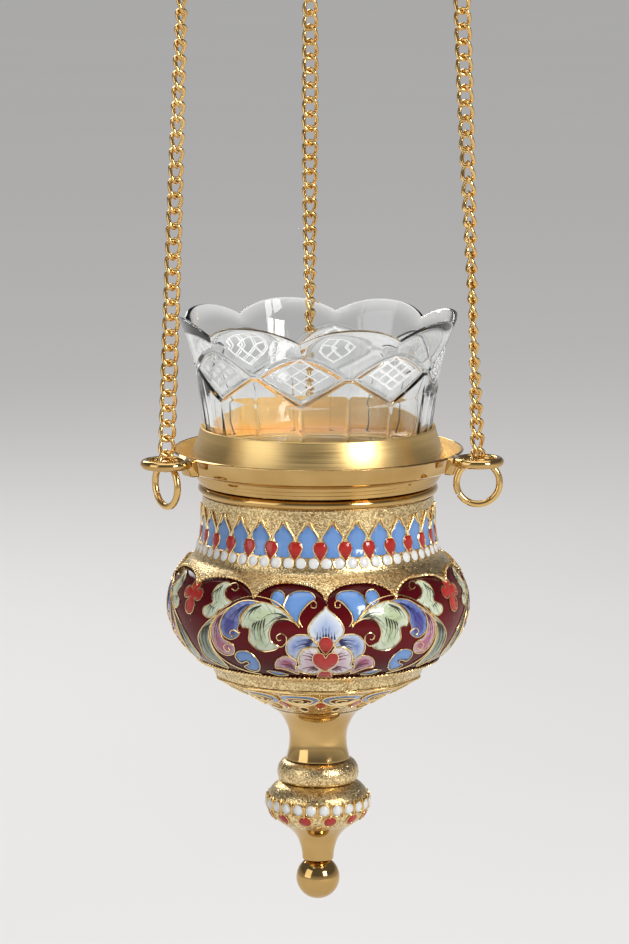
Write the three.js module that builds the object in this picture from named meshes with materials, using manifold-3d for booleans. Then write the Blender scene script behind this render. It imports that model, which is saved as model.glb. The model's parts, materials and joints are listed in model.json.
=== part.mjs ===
// Hanging vigil lamp: a cut glass in a gilt holder with an enamelled bowl, on three curb chains.
// Millimetres, +Z up. The origin is the point where the hook bears on whatever holds the lamp up.
import * as THREE from 'three';
import { mergeVertices } from 'three/addons/utils/BufferGeometryUtils.js';
import Module from 'manifold-3d';

const wasm = await Module();
wasm.setup();

// Clearances
const seatGap = 0.3; // between pieces that rest on each other
const boreGap = 0.3; // round the tie rod and the hook's shank

// Hook
const hookWireRadius = 1.8;
const hookInnerRadius = 7;
const hookShankLength = 26; // from the bend's centre down to the hanger
const hookTipDrop = 5;

// Hanger: a turned hub with three arms that end in eyes
const hubHeight = 15;
const hubRadius = 6;
const hubCapRadius = 7.4;
const armRadius = 1.5;
const eyeWireRadius = 1.0;
const eyeRadius = 3.5; // centre line
const eyeDrop = 6; // from the hub's foot down to the centre of the eye's bottom wire

// Retaining nut under the hanger
const hookNutRadius = 4;
const hookNutHeight = 4.5;

// Rings that hang in the hanger's eyes
const topRingWireRadius = 0.8;
const topRingRadius = 3.8; // centre line

// Curb chains
const chainLength = 144; // between the middles of the first and the last link, at most
const linkPitch = 4.35; // inner length of a link
const linkWidth = 5.3; // over the wire
const chainWireRadius = 0.62;
const linkTwist = -90; // degrees from the foot to the head of one link
const linkBite = 0.1; // how far neighbouring links press into each other where they bear
const linkSteps = 6;
const chainLean = 2.56; // degrees, each chain leans in towards the axis
const chainHeadTurns = { left: 0, right: 0, back: -180 }; // degrees, from the turns that a chain hangs with

// Rings that hold the carrier's lugs from below
const splitRingWireRadius = 1.0;
const splitRingRadius = 6.35; // centre line
const splitRingCut = 0.4; // saw cut
const splitRingCutAngle = -150; // degrees round the ring from its own right hand side
const splitRingTurns = { left: 90, right: 27.2, back: 150 }; // degrees, 0 is radial

// Lugs
const lugAzimuths = { left: 212.8, right: 332.8, back: 92.8 }; // degrees from +X
const lugRingRadius = 6.4; // centre line
const lugRingWidth = 2.5;
const lugRingHeight = 2.8;
const lugBlockLength = 2.5; // from the carrier's rim to the middle of the ring's band
const lugBlockWidth = 5.4;
const lugBlockHeight = 5.4;
const lugBlockTop = 1.0; // above the middle of the lug's ring
const lugBlockRounding = 0.7;

// Carrier ring: a polished dish with a stepped foot and a skirt inside the bowl's neck
const carrierRimRadius = 43.8;
const carrierRimZ = 0.6; // above the middle of the lugs
const carrierWall = 0.8;
const dishDepth = 4.8;
const carrierFlare = 2.4; // how far the rim stands out past the foot of the band
const carrierFloor = 0.9;
const carrierStepRadius = 37.3;
const carrierStepIn = 0.75;
const carrierStepHeight = 1.2;
const carrierSteps = 3;
const carrierLip = 1.0;
const carrierBore = 24.5;
const recessRadius = 28;
const recessDepth = 1.8;
const skirtWall = 1.3;
const skirtLength = 6;

// Collar round the glass
const collarHeight = 11.1;
const collarWall = 0.6;
const collarClearance = 0.4; // to the glass inside it and to the carrier's band round it

// Glass
const glassHeight = 44.9; // from its foot to the crests of its rim
const glassFootRadius = 33.0;
const glassWaistRadius = 34.2; // where it passes the top of the collar
const glassBodyRadius = 35.8; // where the flare starts
const glassFlareStart = 22; // above its foot
const glassRimRadius = 42.3;
const glassWall = 2.8;
const glassBase = 3.6;
const glassLobes = 8;
const glassLobeAzimuth = 262; // degrees, one of the valleys of the rim
const glassDip = 4.0; // how far a valley lies below a crest
const glassPinch = 1.8; // how far a valley is drawn in

// Bowl
const beadRadius = 36.0;
const beadHeight = 3.0;
const neckRadius = 34.75;
const neckRebate = 0.75;
const neckLength = 8; // straight part under the bead
const neckFootRadius = 37.2;
const neckFlare = 10.3;
const bellyRadius = 45.3;
const bellyDrop = 14.9; // from the neck's foot to the widest place
const bellyDepth = 18.5; // from the widest place to the foot band
const bandRadius = 32.2; // top of the foot band
const bandHeight = 3.1;
const bowlFootRadius = 31.4;
const bellyFullness = 0.3; // where the middles of the belly's curves lie, as a share of its radius
const bowlWall = 1.2;

// Base plate under the bowl, with its cone
const ledgeRadius = 31.2;
const ledgeHeight = 1.0;
const spigotHeight = 2.5;
const spigotWall = 1.4;
const coneHeight = 8.6;
const coneFootRadius = 14.4;
const plateWall = 1.5;
const ledgeLobes = 12;
const lobeDepth = 0.8;
const lobeDrop = 0.6;

// Stem, knop, cap and ball
const stemHeight = 16.2;
const stemWaistRadius = 8.6;
const stemTopRadius = 14.2;
const stemFootRadius = 9.6;
const knopHeight = 6.5;
const knopRadius = 12.3;
const knopWaistRadius = 11.3;
const capHeight = 24.2;
const capRadius = 15.8;
const capFootRadius = 4.7;
const ballRadius = 6.6;
const ballFlatRadius = 3.5;

// Tie rod with its cup, washer and nut
const rodRadius = 2.4;
const rodInBall = 6;
const rodAboveNut = 0.8;
const cupDepth = 8.3;
const cupWall = 1.0;
const cupFlange = 1.0;
const washerRadius = 6;
const washerHeight = 1.0;
const nutRadius = 4.6;
const nutHeight = 3.6;

// Facets
const wideFacets = 30;
const slimFacets = 16;
const ringFacets = 12;
const splitRingFacets = 14;
const wireFacets = 5;

const UP = new THREE.Vector3(0, 0, 1);
const rad = THREE.MathUtils.degToRad;

// Finishes
function finish(color, roughness, metalness, extra = {}) {
  return new THREE.MeshStandardMaterial({ color, roughness, metalness, ...extra });
}
const polishedGilt = () => finish(0xe0ac4a, 0.12, 1);
const satinGilt = () => finish(0xd9a94f, 0.38, 1);
const stippledGilt = () => finish(0xcfa34c, 0.45, 1);
const chainGilt = () => finish(0xdba548, 0.2, 1);
const clearCrystal = () => finish(0xf4f7f8, 0.03, 0, { transparent: true, opacity: 0.3 });
const enamel = () => finish(0x4a0d14, 0.15, 0.1);
const plainBrass = () => finish(0xb58a3c, 0.4, 1);

// A geometry as a solid that can be joined and cut.
function solidOf(geometry) {
  const bare = geometry.clone();
  bare.deleteAttribute('normal');
  bare.deleteAttribute('uv');
  const merged = mergeVertices(bare, 1e-4);
  const index = merged.index.array;
  const triVerts = [];
  for (let i = 0; i < index.length; i += 3) {
    const [a, b, c] = [index[i], index[i + 1], index[i + 2]];
    if (a !== b && b !== c && c !== a) {
      triVerts.push(a, b, c);
    }
  }
  return new wasm.Manifold(new wasm.Mesh({
    numProp: 3,
    vertProperties: new Float32Array(merged.attributes.position.array),
    triVerts: new Uint32Array(triVerts),
  }));
}

// A solid as a geometry again.
function geometryOf(solid) {
  const mesh = solid.getMesh();
  const geometry = new THREE.BufferGeometry();
  geometry.setAttribute('position', new THREE.BufferAttribute(mesh.vertProperties, 3));
  geometry.setIndex(new THREE.BufferAttribute(mesh.triVerts, 1));
  const flat = geometry.toNonIndexed();
  flat.computeVertexNormals();
  return flat;
}

// A body turned about Z from a closed outline of [radius, height] points, given foot to top outside.
function turned(outline, facets) {
  const points = outline.map(([radius, height]) => new THREE.Vector2(radius, height));
  points.push(points[0].clone());
  return new THREE.LatheGeometry(points, facets).rotateX(Math.PI / 2);
}

// Points of an oval arc in the plane of an outline, both ends included. Angles are in degrees from outward.
function ovalArc(radius, height, across, upright, from, to, steps) {
  const points = [];
  for (let i = 0; i <= steps; i += 1) {
    const angle = rad(from + (to - from) * i / steps);
    points.push([radius + across * Math.cos(angle), height + upright * Math.sin(angle)]);
  }
  return points;
}

// Points of a curve between two places, bowed inwards by a share of its width.
function hollowCurve(start, end, bow, steps) {
  const points = [];
  for (let i = 0; i <= steps; i += 1) {
    const t = i / steps;
    const r = start[0] + (end[0] - start[0]) * t;
    const z = start[1] + (end[1] - start[1]) * t;
    const inwards = bow * Math.abs(end[0] - start[0]) * 4 * t * (1 - t);
    points.push([r - inwards, z]);
  }
  return points;
}

// A closed wire ring in the XZ plane.
function wireRing(radius, wire, around = ringFacets) {
  return new THREE.TorusGeometry(radius, wire, wireFacets, around).rotateX(Math.PI / 2);
}

// A round wire along a curve.
function wireAlong(curve, wire, steps, sides = wireFacets) {
  const section = new THREE.Shape();
  for (let i = 0; i < sides; i += 1) {
    const angle = 2 * Math.PI * i / sides;
    const x = wire * Math.cos(angle);
    const y = wire * Math.sin(angle);
    if (i === 0) {
      section.moveTo(x, y);
    } else {
      section.lineTo(x, y);
    }
  }
  section.closePath();
  return new THREE.ExtrudeGeometry(section, { steps, extrudePath: curve, curveSegments: 1 });
}

const model = new THREE.Group();

function addPiece(group, name, geometry, material) {
  const mesh = new THREE.Mesh(geometry, material);
  mesh.name = name;
  group.add(mesh);
  return mesh;
}

// Heights, from the hook down. The origin is the inside of the hook's bend at its top.
const hookBendZ = -hookInnerRadius;
const hubTopZ = hookBendZ - hookShankLength;
const hubFootZ = hubTopZ - hubHeight;
const eyeZ = hubFootZ - eyeDrop;

const lugRadius = carrierRimRadius + seatGap + lugBlockLength + lugRingRadius;

// Along a chain, counted up from the middle of the split ring's top wire.
const firstLinkCentre = linkPitch / 2 - splitRingWireRadius - seatGap;
const linkSpacing = linkPitch + linkBite;
const linksAbove = Math.floor(chainLength / linkSpacing);
const lastLinkCentre = firstLinkCentre + linksAbove * linkSpacing;
const topRingBottom = lastLinkCentre + linkPitch / 2 - topRingWireRadius - seatGap;
const topRingCentre = topRingBottom + topRingRadius;
const eyeAlong = topRingCentre + topRingRadius - topRingWireRadius - eyeWireRadius - seatGap;
const lean = rad(chainLean);
const eyeFromAxis = lugRadius - eyeAlong * Math.sin(lean);
const lugZ = eyeZ - eyeAlong * Math.cos(lean);

// Hook: shank, bend and tip in the XZ plane
function makeHook() {
  const bend = hookInnerRadius + hookWireRadius;
  const route = new THREE.CurvePath();
  const foot = new THREE.Vector3(0, 0, hubFootZ - seatGap - hookNutHeight + 1);
  const neck = new THREE.Vector3(0, 0, hookBendZ - bend - 5);
  route.add(new THREE.LineCurve3(foot, neck));
  route.add(new THREE.CubicBezierCurve3(
    neck,
    new THREE.Vector3(0, 0, hookBendZ - bend),
    new THREE.Vector3(-bend, 0, hookBendZ - bend * 0.9),
    new THREE.Vector3(-bend, 0, hookBendZ),
  ));
  const round = [];
  for (let i = 0; i <= 8; i += 1) {
    const angle = Math.PI * (1 - i / 8);
    round.push(new THREE.Vector3(bend * Math.cos(angle), 0, hookBendZ + bend * Math.sin(angle)));
  }
  round.push(new THREE.Vector3(bend + 0.6, 0, hookBendZ - hookTipDrop));
  route.add(new THREE.CatmullRomCurve3(round));
  return wireAlong(route, hookWireRadius, 24, 6);
}

// Hanger: hub with a domed cap, and one arm and eye for each chain
function makeHanger() {
  const bore = hookWireRadius + boreGap;
  const waist = hubRadius * 0.62;
  const hub = turned([
    [bore, hubFootZ],
    [waist, hubFootZ],
    [hubRadius, hubFootZ + 2],
    [hubRadius, hubFootZ + 5],
    [waist, hubFootZ + 7.5],
    [hubCapRadius, hubTopZ - 5],
    [hubCapRadius, hubTopZ - 3.8],
    [hubCapRadius * 0.72, hubTopZ - 1.2],
    [waist, hubTopZ],
    [bore, hubTopZ],
  ], slimFacets);
  let hanger = solidOf(hub);
  const eyeCentreZ = eyeZ + eyeRadius;
  const eyeTop = eyeCentreZ + eyeRadius;
  const armStart = new THREE.Vector3(waist, 0, hubFootZ + 3.5);
  const armEnd = new THREE.Vector3(eyeFromAxis - eyeRadius * 0.7, 0, eyeCentreZ + eyeRadius * 0.7);
  const arm = solidOf(wireAlong(new THREE.CatmullRomCurve3([
    armStart,
    new THREE.Vector3(eyeFromAxis * 0.35, 0, hubFootZ + 6.5),
    new THREE.Vector3(eyeFromAxis * 0.7, 0, eyeTop + 3),
    armEnd,
  ]), armRadius, 6));
  const eye = solidOf(wireRing(eyeRadius, eyeWireRadius)).translate([eyeFromAxis, 0, eyeCentreZ]);
  const armAndEye = arm.add(eye);
  const boreSpace = solidOf(new THREE.CylinderGeometry(bore, bore, hubHeight * 2, slimFacets).rotateX(Math.PI / 2))
    .translate([0, 0, (hubTopZ + hubFootZ) / 2]);
  for (const azimuth of Object.values(lugAzimuths)) {
    hanger = hanger.add(armAndEye.rotate([0, 0, azimuth]));
  }
  return geometryOf(hanger.subtract(boreSpace));
}

// Domed nut that the shank ends in
function makeHookNut() {
  const top = hubFootZ - seatGap;
  const inner = hookWireRadius + boreGap;
  return turned([
    [0, top - hookNutHeight],
    [hookNutRadius * 0.7, top - hookNutHeight * 0.85],
    [hookNutRadius, top - hookNutHeight * 0.5],
    [hookNutRadius, top],
    [inner, top],
    [inner, top - hookNutHeight + 1 - seatGap],
    [0, top - hookNutHeight + 1 - seatGap],
  ], ringFacets);
}

// One link of curb chain: a ring drawn out into an oval along Z, then twisted about its length
function makeLink() {
  const bend = linkWidth / 2 - chainWireRadius;
  const flat = Math.cos(Math.PI / linkSteps);
  const stretch = linkPitch / 2 - (bend - chainWireRadius) * flat;
  const length = linkPitch + 2 * chainWireRadius * flat;
  const link = new THREE.TorusGeometry(bend, chainWireRadius, 4, linkSteps).rotateX(Math.PI / 2);
  const position = link.attributes.position;
  const point = new THREE.Vector3();
  for (let i = 0; i < position.count; i += 1) {
    point.fromBufferAttribute(position, i);
    point.z += Math.abs(point.z) > 0.5 * bend ? Math.sign(point.z) * stretch : 0;
    point.applyAxisAngle(UP, rad(linkTwist) * point.z / length);
    position.setXYZ(i, point.x, point.y, point.z);
  }
  return solidOf(link);
}

// A whole chain along Z. The first and last links turn their ends across the rings that they hold,
// and the links between share the turn that is left, as a hanging chain does.
function makeChain(footTurn, headTurn) {
  const link = makeLink();
  const bottom = footTurn + linkTwist / 2;
  const top = headTurn - linkTwist / 2;
  let chain = null;
  for (let i = 0; i <= linksAbove; i += 1) {
    const height = firstLinkCentre + i * linkSpacing;
    const turn = bottom + (top - bottom) * i / linksAbove;
    const placed = link.rotate([0, 0, turn]).translate([0, 0, height]);
    chain = chain ? chain.add(placed) : placed;
  }
  return geometryOf(chain);
}

// Ring of wire with a saw cut, hanging from the last link
function makeSplitRing() {
  const ring = solidOf(wireRing(splitRingRadius, splitRingWireRadius, splitRingFacets));
  const cut = solidOf(new THREE.BoxGeometry(4 * splitRingWireRadius, 4 * splitRingWireRadius, splitRingCut))
    .translate([splitRingRadius, 0, 0])
    .rotate([0, -splitRingCutAngle, 0]);
  return geometryOf(ring.subtract(cut));
}

// Outline of the carrier, foot to top outside and back down inside
const dishFootRadius = carrierRimRadius - carrierFlare;
const dishFloorZ = carrierRimZ - dishDepth;
const bandFootZ = dishFloorZ - carrierFloor;
const stepsTopZ = bandFootZ - carrierLip;
const carrierSeatZ = stepsTopZ - carrierSteps * carrierStepHeight;
const rimRingRebate = neckRadius - neckRebate;
const skirtRadius = rimRingRebate - bowlWall - seatGap;

function carrierOutline() {
  const inner = skirtRadius - skirtWall;
  const points = [
    [inner, carrierSeatZ - skirtLength],
    [skirtRadius, carrierSeatZ - skirtLength],
    [skirtRadius, carrierSeatZ],
  ];
  for (let i = carrierSteps - 1; i >= 0; i -= 1) {
    const radius = carrierStepRadius - carrierStepIn * i;
    points.push([radius, stepsTopZ - (i + 1) * carrierStepHeight]);
    points.push([radius, stepsTopZ - i * carrierStepHeight]);
  }
  points.push(
    [dishFootRadius - carrierLip, bandFootZ],
    [dishFootRadius, bandFootZ + carrierLip * 0.6],
    [carrierRimRadius, carrierRimZ - carrierWall * 0.5],
    [carrierRimRadius - carrierWall, carrierRimZ],
    [dishFootRadius - carrierWall, dishFloorZ],
    [recessRadius, dishFloorZ],
    [recessRadius, dishFloorZ - recessDepth],
    [carrierBore, dishFloorZ - recessDepth],
    [carrierBore, dishFloorZ - recessDepth - 1.4],
    [inner, dishFloorZ - recessDepth - 1.4],
  );
  return points;
}

// Radius of the carrier's flank at a height between its foot and its rim
function flankRadius(height) {
  const foot = [dishFootRadius, bandFootZ + carrierLip * 0.6];
  const rim = [carrierRimRadius, carrierRimZ - carrierWall * 0.5];
  return foot[0] + (rim[0] - foot[0]) * (height - foot[1]) / (rim[1] - foot[1]);
}

// Cast lug: a horizontal ring on a block that stands out from the carrier, with a gusset below
function makeLug() {
  const ring = solidOf(
    new THREE.TorusGeometry(lugRingRadius, lugRingWidth / 2, wireFacets + 1, ringFacets),
  ).scale([1, 1, lugRingHeight / lugRingWidth]).translate([lugRadius, 0, 0]);
  const r = lugBlockRounding;
  const top = lugBlockTop - r;
  const low = lugBlockTop - lugBlockHeight + r;
  const highest = Math.min(top, carrierRimZ - carrierWall * 0.5);
  const blockEnd = lugRadius - lugRingRadius - r;
  const gussetEnd = lugRadius - lugRingRadius + lugRingWidth * 0.4;
  const side = new THREE.Shape();
  side.moveTo(flankRadius(low) + seatGap + r, low);
  side.lineTo(blockEnd, low);
  side.quadraticCurveTo(blockEnd + 0.3, low * 0.4, gussetEnd - r, -lugRingHeight * 0.25);
  side.lineTo(blockEnd, top);
  side.lineTo(carrierRimRadius + seatGap + r, top);
  side.lineTo(flankRadius(highest) + seatGap + r, highest);
  side.closePath();
  const block = solidOf(new THREE.ExtrudeGeometry(side, {
    depth: lugBlockWidth - 2 * r,
    bevelSize: r,
    bevelThickness: r,
    bevelSegments: 1,
    curveSegments: 2,
  }).rotateX(Math.PI / 2)).translate([0, lugBlockWidth / 2 - r, 0]);
  const holeRadius = lugRingRadius - lugRingWidth / 2;
  const hole = solidOf(new THREE.CylinderGeometry(holeRadius, holeRadius, lugBlockHeight * 4, ringFacets)
    .rotateX(Math.PI / 2)).translate([lugRadius, 0, 0]);
  return geometryOf(ring.add(block.subtract(hole)));
}

// Collar: a satin cone with hollow flanks, wide foot down
const collarFootZ = dishFloorZ + seatGap;
const collarTopZ = collarFootZ + collarHeight;
const collarFootRadius = dishFootRadius - carrierWall - collarClearance;
const collarTopRadius = glassWaistRadius + collarClearance + collarWall;

function makeCollar() {
  const outside = hollowCurve([collarFootRadius, collarFootZ], [collarTopRadius, collarTopZ], 0.14, 3);
  const inside = outside.map(([r, z]) => [r - collarWall, z]).reverse();
  return turned([...outside, ...inside], wideFacets);
}

// Glass: a flared cup whose rim rises and falls in lobes
const glassFootZ = dishFloorZ + seatGap;

function makeGlass() {
  const rimZ = glassHeight;
  const collarTop = collarHeight;
  const flare = rimZ - glassFlareStart;
  const outside = [
    [glassFootRadius - 1.2, 0],
    [glassFootRadius, 1.2],
    [glassWaistRadius, collarTop],
    [glassBodyRadius, glassFlareStart],
  ];
  const flareSteps = 3;
  for (let i = 1; i <= flareSteps; i += 1) {
    const t = i / flareSteps;
    const spread = (glassRimRadius - glassBodyRadius) * Math.pow(t, 1.5);
    outside.push([glassBodyRadius + spread, glassFlareStart + flare * t]);
  }
  const inside = outside.slice(2).map(([r, z], i, all) => {
    const wall = glassWall * (i === all.length - 1 ? 0.55 : 1);
    return [r - wall, z];
  }).reverse();
  inside.push([glassFootRadius - glassWall - 1, glassBase + 1.5], [glassFootRadius - glassWall - 3, glassBase]);
  const outline = [[0, 0], ...outside, ...inside, [0, glassBase]];
  const facets = glassLobes * 4;
  const cup = turned(outline, facets);
  const position = cup.attributes.position;
  const lobe = 2 * Math.PI / glassLobes;
  for (let i = 0; i < position.count; i += 1) {
    const [x, y, z] = [position.getX(i), position.getY(i), position.getZ(i)];
    const radius = Math.hypot(x, y);
    const turns = Math.atan2(y, x) / lobe;
    const fromCrest = 2 * Math.abs(turns - Math.floor(turns) - 0.5);
    const rise = THREE.MathUtils.smoothstep(z, glassFlareStart, rimZ);
    const share = fromCrest * fromCrest * rise;
    const drawn = radius > 0 ? (radius - glassPinch * share) / radius : 1;
    position.setXYZ(i, x * drawn, y * drawn, z - glassDip * share);
  }
  return cup.rotateZ(rad(glassLobeAzimuth)).translate(0, 0, glassFootZ);
}

// Half round bead ring at the bowl's mouth
const beadTopZ = carrierSeatZ - seatGap;
const beadFootZ = beadTopZ - beadHeight;

function makeBead() {
  const inner = rimRingRebate + seatGap;
  const middle = (beadTopZ + beadFootZ) / 2;
  const across = beadRadius - inner;
  const round = ovalArc(inner, middle, across, beadHeight / 2, -90, 90, 4);
  return turned(round, wideFacets);
}

// Bowl: straight neck, short flare, full belly drawn in to its bottom edge
const neckTopZ = beadFootZ - seatGap;
const neckFootZ = neckTopZ - neckLength;
const shoulderZ = neckFootZ - neckFlare;
const bellyZ = shoulderZ - bellyDrop;
const bandZ = bellyZ - bellyDepth;
const bowlFootZ = bandZ - bandHeight;

// Angle at which an oval of this reach passes a given radius
function ovalAngle(centre, across, radius) {
  return THREE.MathUtils.radToDeg(Math.acos((radius - centre) / across));
}

function makeBowl() {
  const centre = bellyRadius * bellyFullness;
  const across = bellyRadius - centre;
  const upperAngle = ovalAngle(centre, across, neckFootRadius);
  const lowerAngle = ovalAngle(centre, across, bandRadius);
  const upperHeight = bellyDrop / Math.sin(rad(upperAngle));
  const lowerHeight = bellyDepth / Math.sin(rad(lowerAngle));
  const lower = ovalArc(centre, bellyZ, across, lowerHeight, -lowerAngle, 0, 5);
  const upper = ovalArc(centre, bellyZ, across, upperHeight, 0, upperAngle, 4);
  const flare = hollowCurve([neckFootRadius, shoulderZ], [neckRadius, neckFootZ], 0.2, 2);
  const foot = [bowlFootRadius, bowlFootZ];
  const outside = [foot, ...lower, ...upper.slice(1), ...flare.slice(1), [neckRadius, neckTopZ]];
  const inside = [
    [rimRingRebate - bowlWall, neckFootZ],
    ...[...lower.slice(1), ...upper.slice(1)].reverse().filter((point, i) => i % 3 === 1)
      .map(([r, z]) => [r - bowlWall * 1.2, z]),
    [bandRadius - bowlWall, bandZ],
    [bowlFootRadius - bowlWall, bowlFootZ],
  ];
  const top = beadTopZ;
  return turned([
    ...outside,
    [rimRingRebate, neckTopZ],
    [rimRingRebate, top],
    [rimRingRebate - bowlWall, top],
    ...inside,
  ], wideFacets);
}

// Base plate: a ledge that closes the bowl, with a hollow cone whose upper edge is scalloped
const ledgeTopZ = bowlFootZ - seatGap;
const ledgeFootZ = ledgeTopZ - ledgeHeight;
const coneFootZ = ledgeFootZ - coneHeight;
const rodBore = rodRadius + boreGap;

function makeBasePlate() {
  const spigot = bowlFootRadius - bowlWall - seatGap;
  const outline = [
    [rodBore, coneFootZ],
    [coneFootRadius, coneFootZ],
    [ledgeRadius - 2 * lobeDepth, ledgeFootZ - lobeDrop],
    [ledgeRadius - 0.4, ledgeFootZ],
    [ledgeRadius, ledgeTopZ - 0.4],
    [ledgeRadius, ledgeTopZ],
    [spigot, ledgeTopZ],
    [spigot, ledgeTopZ + spigotHeight],
    [spigot - spigotWall, ledgeTopZ + spigotHeight],
    [spigot - spigotWall, ledgeTopZ - plateWall],
    [coneFootRadius - plateWall, coneFootZ + plateWall],
    [rodBore, coneFootZ + plateWall],
  ];
  const plate = turned(outline, ledgeLobes * 3);
  const position = plate.attributes.position;
  for (let i = 0; i < position.count; i += 1) {
    const [x, y, z] = [position.getX(i), position.getY(i), position.getZ(i)];
    const radius = Math.hypot(x, y);
    if (Math.abs(z - ledgeFootZ + lobeDrop) < 0.01) {
      const grown = 1 + lobeDepth * Math.cos(ledgeLobes * Math.atan2(y, x)) / radius;
      position.setXY(i, x * grown, y * grown);
    }
  }
  return plate;
}

// Stem: a trumpet from the cone down to the knop
const stemTopZ = coneFootZ - seatGap;
const stemFootZ = stemTopZ - stemHeight;

function makeStem() {
  const waistZ = stemTopZ - stemHeight * 0.5;
  const bell = ovalArc(stemTopRadius, waistZ, stemTopRadius - stemWaistRadius, stemTopZ - waistZ, 180, 90, 4);
  return turned([
    [rodBore, stemFootZ],
    [stemFootRadius, stemFootZ],
    [stemWaistRadius, stemFootZ + stemHeight * 0.17],
    ...bell,
    [rodBore, stemTopZ],
  ], slimFacets);
}

// Knop: a full round cushion
const knopTopZ = stemFootZ - seatGap;
const knopFootZ = knopTopZ - knopHeight;

function makeKnop() {
  const middle = knopFootZ + knopHeight * 0.4;
  const roundTop = ovalArc(stemFootRadius, middle, knopRadius - stemFootRadius, knopTopZ - middle, 0, 90, 3);
  const roundFoot = ovalArc(knopWaistRadius, middle, knopRadius - knopWaistRadius, middle - knopFootZ, -90, 0, 2);
  return turned([
    [rodBore, knopFootZ],
    ...roundFoot,
    ...roundTop.slice(1),
    [rodBore, knopTopZ],
  ], slimFacets);
}

// Cap: spreads to the band of beads, then draws in to the ball
const capTopZ = knopFootZ - seatGap;
const capFootZ = capTopZ - capHeight;

function makeCap() {
  const pearlZ = capTopZ - capHeight * 0.26;
  const reach = capRadius - capFootRadius;
  const taperFrom = 176; // degrees round a hollow oval, from the cap's foot upwards
  const taperTo = 102;
  const taperCentre = [capFootRadius + 0.85 * reach, capFootZ + 1.5];
  const taper = ovalArc(...taperCentre, 0.83 * reach, capHeight * 0.455, taperFrom, taperTo, 5);
  return turned([
    [rodBore, capFootZ],
    [capFootRadius, capFootZ],
    ...taper,
    [capRadius * 0.93, pearlZ - 4.0],
    [capRadius, pearlZ - 1.3],
    [capRadius, pearlZ + 0.3],
    [capRadius * 0.95, pearlZ + 3.4],
    [knopWaistRadius + 1.6, capTopZ - 0.8],
    [knopWaistRadius + 0.2, capTopZ],
    [rodBore, capTopZ],
  ], slimFacets);
}

// Ball: screwed on the end of the tie rod
const ballTopZ = capFootZ - seatGap;
const ballZ = ballTopZ - Math.sqrt(ballRadius * ballRadius - ballFlatRadius * ballFlatRadius);

function makeBall() {
  const flatAngle = THREE.MathUtils.radToDeg(Math.acos(ballFlatRadius / ballRadius));
  const round = ovalArc(0, ballZ, ballRadius, ballRadius, -90, flatAngle, 6);
  const hole = ballTopZ - rodInBall - seatGap;
  round[0][0] = 0;
  return turned([...round, [rodBore, ballTopZ], [rodBore, hole], [0, hole]], slimFacets);
}

// Cup that the rod pulls down on, with washer and nut
const cupTopZ = dishFloorZ - recessDepth + seatGap + cupFlange;
const cupFootZ = cupTopZ - cupDepth;
const washerZ = cupFootZ + cupWall + seatGap;
const nutZ = washerZ + washerHeight + seatGap;
const rodTopZ = nutZ + nutHeight + rodAboveNut;
const rodFootZ = ballTopZ - rodInBall;

function makeCup() {
  const outer = carrierBore - seatGap;
  return turned([
    [rodBore, cupFootZ],
    [outer * 0.9, cupFootZ],
    [outer, cupFootZ + 2.4],
    [outer, cupTopZ - cupFlange],
    [recessRadius - seatGap, cupTopZ - cupFlange],
    [recessRadius - seatGap, cupTopZ],
    [outer - cupWall, cupTopZ],
    [outer - cupWall, cupFootZ + 2.4 + cupWall * 0.5],
    [outer * 0.9 - cupWall * 0.5, cupFootZ + cupWall],
    [rodBore, cupFootZ + cupWall],
  ], wideFacets);
}

function makeWasher() {
  return turned([
    [rodBore, washerZ],
    [washerRadius, washerZ],
    [washerRadius, washerZ + washerHeight],
    [rodBore, washerZ + washerHeight],
  ], ringFacets);
}

function makeNut() {
  const outline = new THREE.Shape();
  for (let i = 0; i < 6; i += 1) {
    const angle = Math.PI * i / 3;
    const [x, y] = [nutRadius * Math.cos(angle), nutRadius * Math.sin(angle)];
    if (i === 0) {
      outline.moveTo(x, y);
    } else {
      outline.lineTo(x, y);
    }
  }
  const bore = new THREE.Path();
  bore.absarc(0, 0, rodBore, 0, 2 * Math.PI, true);
  outline.holes.push(bore);
  return new THREE.ExtrudeGeometry(outline, { depth: nutHeight, bevelEnabled: false, curveSegments: 6 })
    .translate(0, 0, nutZ);
}

function makeRod() {
  const length = rodTopZ - rodFootZ;
  return new THREE.CylinderGeometry(rodRadius, rodRadius, length, ringFacets)
    .rotateX(Math.PI / 2)
    .translate(0, 0, (rodTopZ + rodFootZ) / 2);
}

// Suspension, in the part's own frame
addPiece(model, 'hook', makeHook(), polishedGilt());
addPiece(model, 'hanger', makeHanger(), polishedGilt());
addPiece(model, 'hook_nut', makeHookNut(), polishedGilt());

// Lamp, in a group whose zero is the middle of the lugs
const lamp = new THREE.Group();
lamp.position.z = lugZ;
model.add(lamp);
const carrier = addPiece(lamp, 'carrier_ring', turned(carrierOutline(), wideFacets), polishedGilt());
carrier.rotation.z = rad(lugAzimuths.left) - Math.PI / 2;
addPiece(lamp, 'collar', makeCollar(), satinGilt());
addPiece(lamp, 'glass_cup', makeGlass(), clearCrystal());
addPiece(lamp, 'rim_bead', makeBead(), polishedGilt());
addPiece(lamp, 'bowl', makeBowl(), enamel());
addPiece(lamp, 'base_plate', makeBasePlate(), stippledGilt());
addPiece(lamp, 'stem', makeStem(), polishedGilt());
addPiece(lamp, 'knop', makeKnop(), stippledGilt());
addPiece(lamp, 'finial_cap', makeCap(), stippledGilt());
addPiece(lamp, 'finial_ball', makeBall(), polishedGilt());
addPiece(lamp, 'clamp_cup', makeCup(), plainBrass());
addPiece(lamp, 'tie_washer', makeWasher(), plainBrass());
addPiece(lamp, 'tie_nut', makeNut(), plainBrass());
addPiece(lamp, 'tie_rod', makeRod(), plainBrass());

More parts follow.
